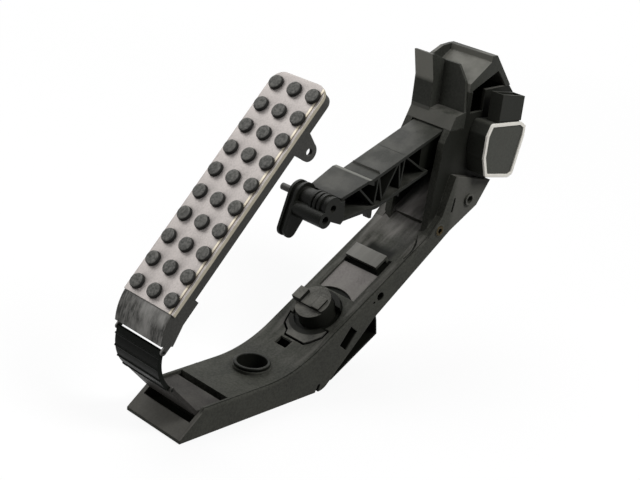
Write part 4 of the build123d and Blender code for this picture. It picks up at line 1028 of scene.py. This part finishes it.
def seen_directly(tree):
    """1 for rays from the camera, mirrors and glass, and 0 for light that bounces."""
    rays = tree.nodes.new("ShaderNodeLightPath").outputs
    total = rays["Is Camera Ray"]
    for label in ("Is Glossy Ray", "Is Transmission Ray"):
        total = reckon(tree, "MAXIMUM", total, rays[label])
    return total


bpy.ops.object.select_all(action="DESELECT")
bpy.ops.mesh.primitive_plane_add(size=FLOOR_SIZE, location=(0.0, 0.0, -FLOOR_DROP))
floor = bpy.context.object
floor.name = "floor"
floor_white = bpy.data.materials.new("floor_white")
floor_white.use_nodes = True
floor_tree = floor_white.node_tree
floor_tree.nodes.remove(floor_tree.nodes["Principled BSDF"])
shown = floor_tree.nodes.new("ShaderNodeBsdfDiffuse")
shown.inputs["Color"].default_value = (FLOOR_WHITE, FLOOR_WHITE, FLOOR_WHITE, 1.0)
bounce = floor_tree.nodes.new("ShaderNodeBsdfDiffuse")
bounce.inputs["Color"].default_value = (FLOOR_BOUNCE, FLOOR_BOUNCE, FLOOR_BOUNCE, 1.0)
white = floor_tree.nodes.new("ShaderNodeEmission")
white.inputs["Strength"].default_value = 1.0
from_part = reach(floor_tree, floor_tree.nodes.new("ShaderNodeTexCoord").outputs["Object"])
share = ramp(floor_tree, from_part, *SHADOW_FADE, first=0.0, last=SHADOW_SHARE)
shadowed = floor_tree.nodes.new("ShaderNodeMixShader")
feed(floor_tree, shadowed.inputs["Fac"], share)
feed(floor_tree, shadowed.inputs[1], white.outputs["Emission"])
feed(floor_tree, shadowed.inputs[2], shown.outputs["BSDF"])
floor_mix = floor_tree.nodes.new("ShaderNodeMixShader")
feed(floor_tree, floor_mix.inputs["Fac"], seen_directly(floor_tree))
feed(floor_tree, floor_mix.inputs[1], bounce.outputs["BSDF"])
feed(floor_tree, floor_mix.inputs[2], shadowed.outputs["Shader"])
feed(floor_tree, floor_tree.nodes["Material Output"].inputs["Surface"], floor_mix.outputs["Shader"])
floor.data.materials.append(floor_white)

world = bpy.data.worlds.new("studio")
bpy.context.scene.world = world
world.use_nodes = True
world_tree = world.node_tree
backdrop = world_tree.nodes["Background"]
backdrop.inputs["Color"].default_value = (1.0, 1.0, 1.0, 1.0)
level = ramp(world_tree, seen_directly(world_tree), low=0.0, high=1.0, first=AMBIENT, last=1.0)
feed(world_tree, backdrop.inputs["Strength"], level)

middle = (cad_box[0] + cad_box[1]) / 2


def soft_lamp(name, place, power, size):
    """A square soft box aimed at the middle of the part."""
    data = bpy.data.lights.new(name, "AREA")
    data.energy = power
    data.size = size
    lamp = bpy.data.objects.new(name, data)
    bpy.context.scene.collection.objects.link(lamp)
    lamp.location = place
    lamp.rotation_euler = (middle - Vector(place)).to_track_quat("-Z", "Y").to_euler()


soft_lamp("key", place=(-1.0, 0.2, 1.4), power=20.0, size=1.6)
soft_lamp("fill", place=(1.05, 0.3, 1.25), power=18.0, size=0.6)
soft_lamp("front", place=(-0.2, -1.3, 1.0), power=7.0, size=0.8)

# Camera: the photograph's viewpoint, found from the grid of studs on the tread.
# It looks down the part from the right of the heel, slightly rolled.
EYE = Vector((0.64184, -0.64727, 0.49211))
RIGHT = Vector((0.7042, 0.7014, 0.1100)).normalized()
FORWARD = Vector((-0.6248, 0.6859, -0.3731)).normalized()
SENSOR_WIDTH = 36.0
LENS = 78.75
camera_data = bpy.data.cameras.new("camera")
camera_data.sensor_width = SENSOR_WIDTH
camera_data.lens = LENS
camera = bpy.data.objects.new("camera", camera_data)
bpy.context.scene.collection.objects.link(camera)
above = RIGHT.cross(FORWARD)
turn = Matrix((RIGHT, above, -FORWARD)).transposed().to_4x4()
camera.matrix_world = Matrix.Translation(EYE) @ turn
bpy.context.scene.camera = camera
bpy.context.scene.view_settings.view_transform = "Standard"
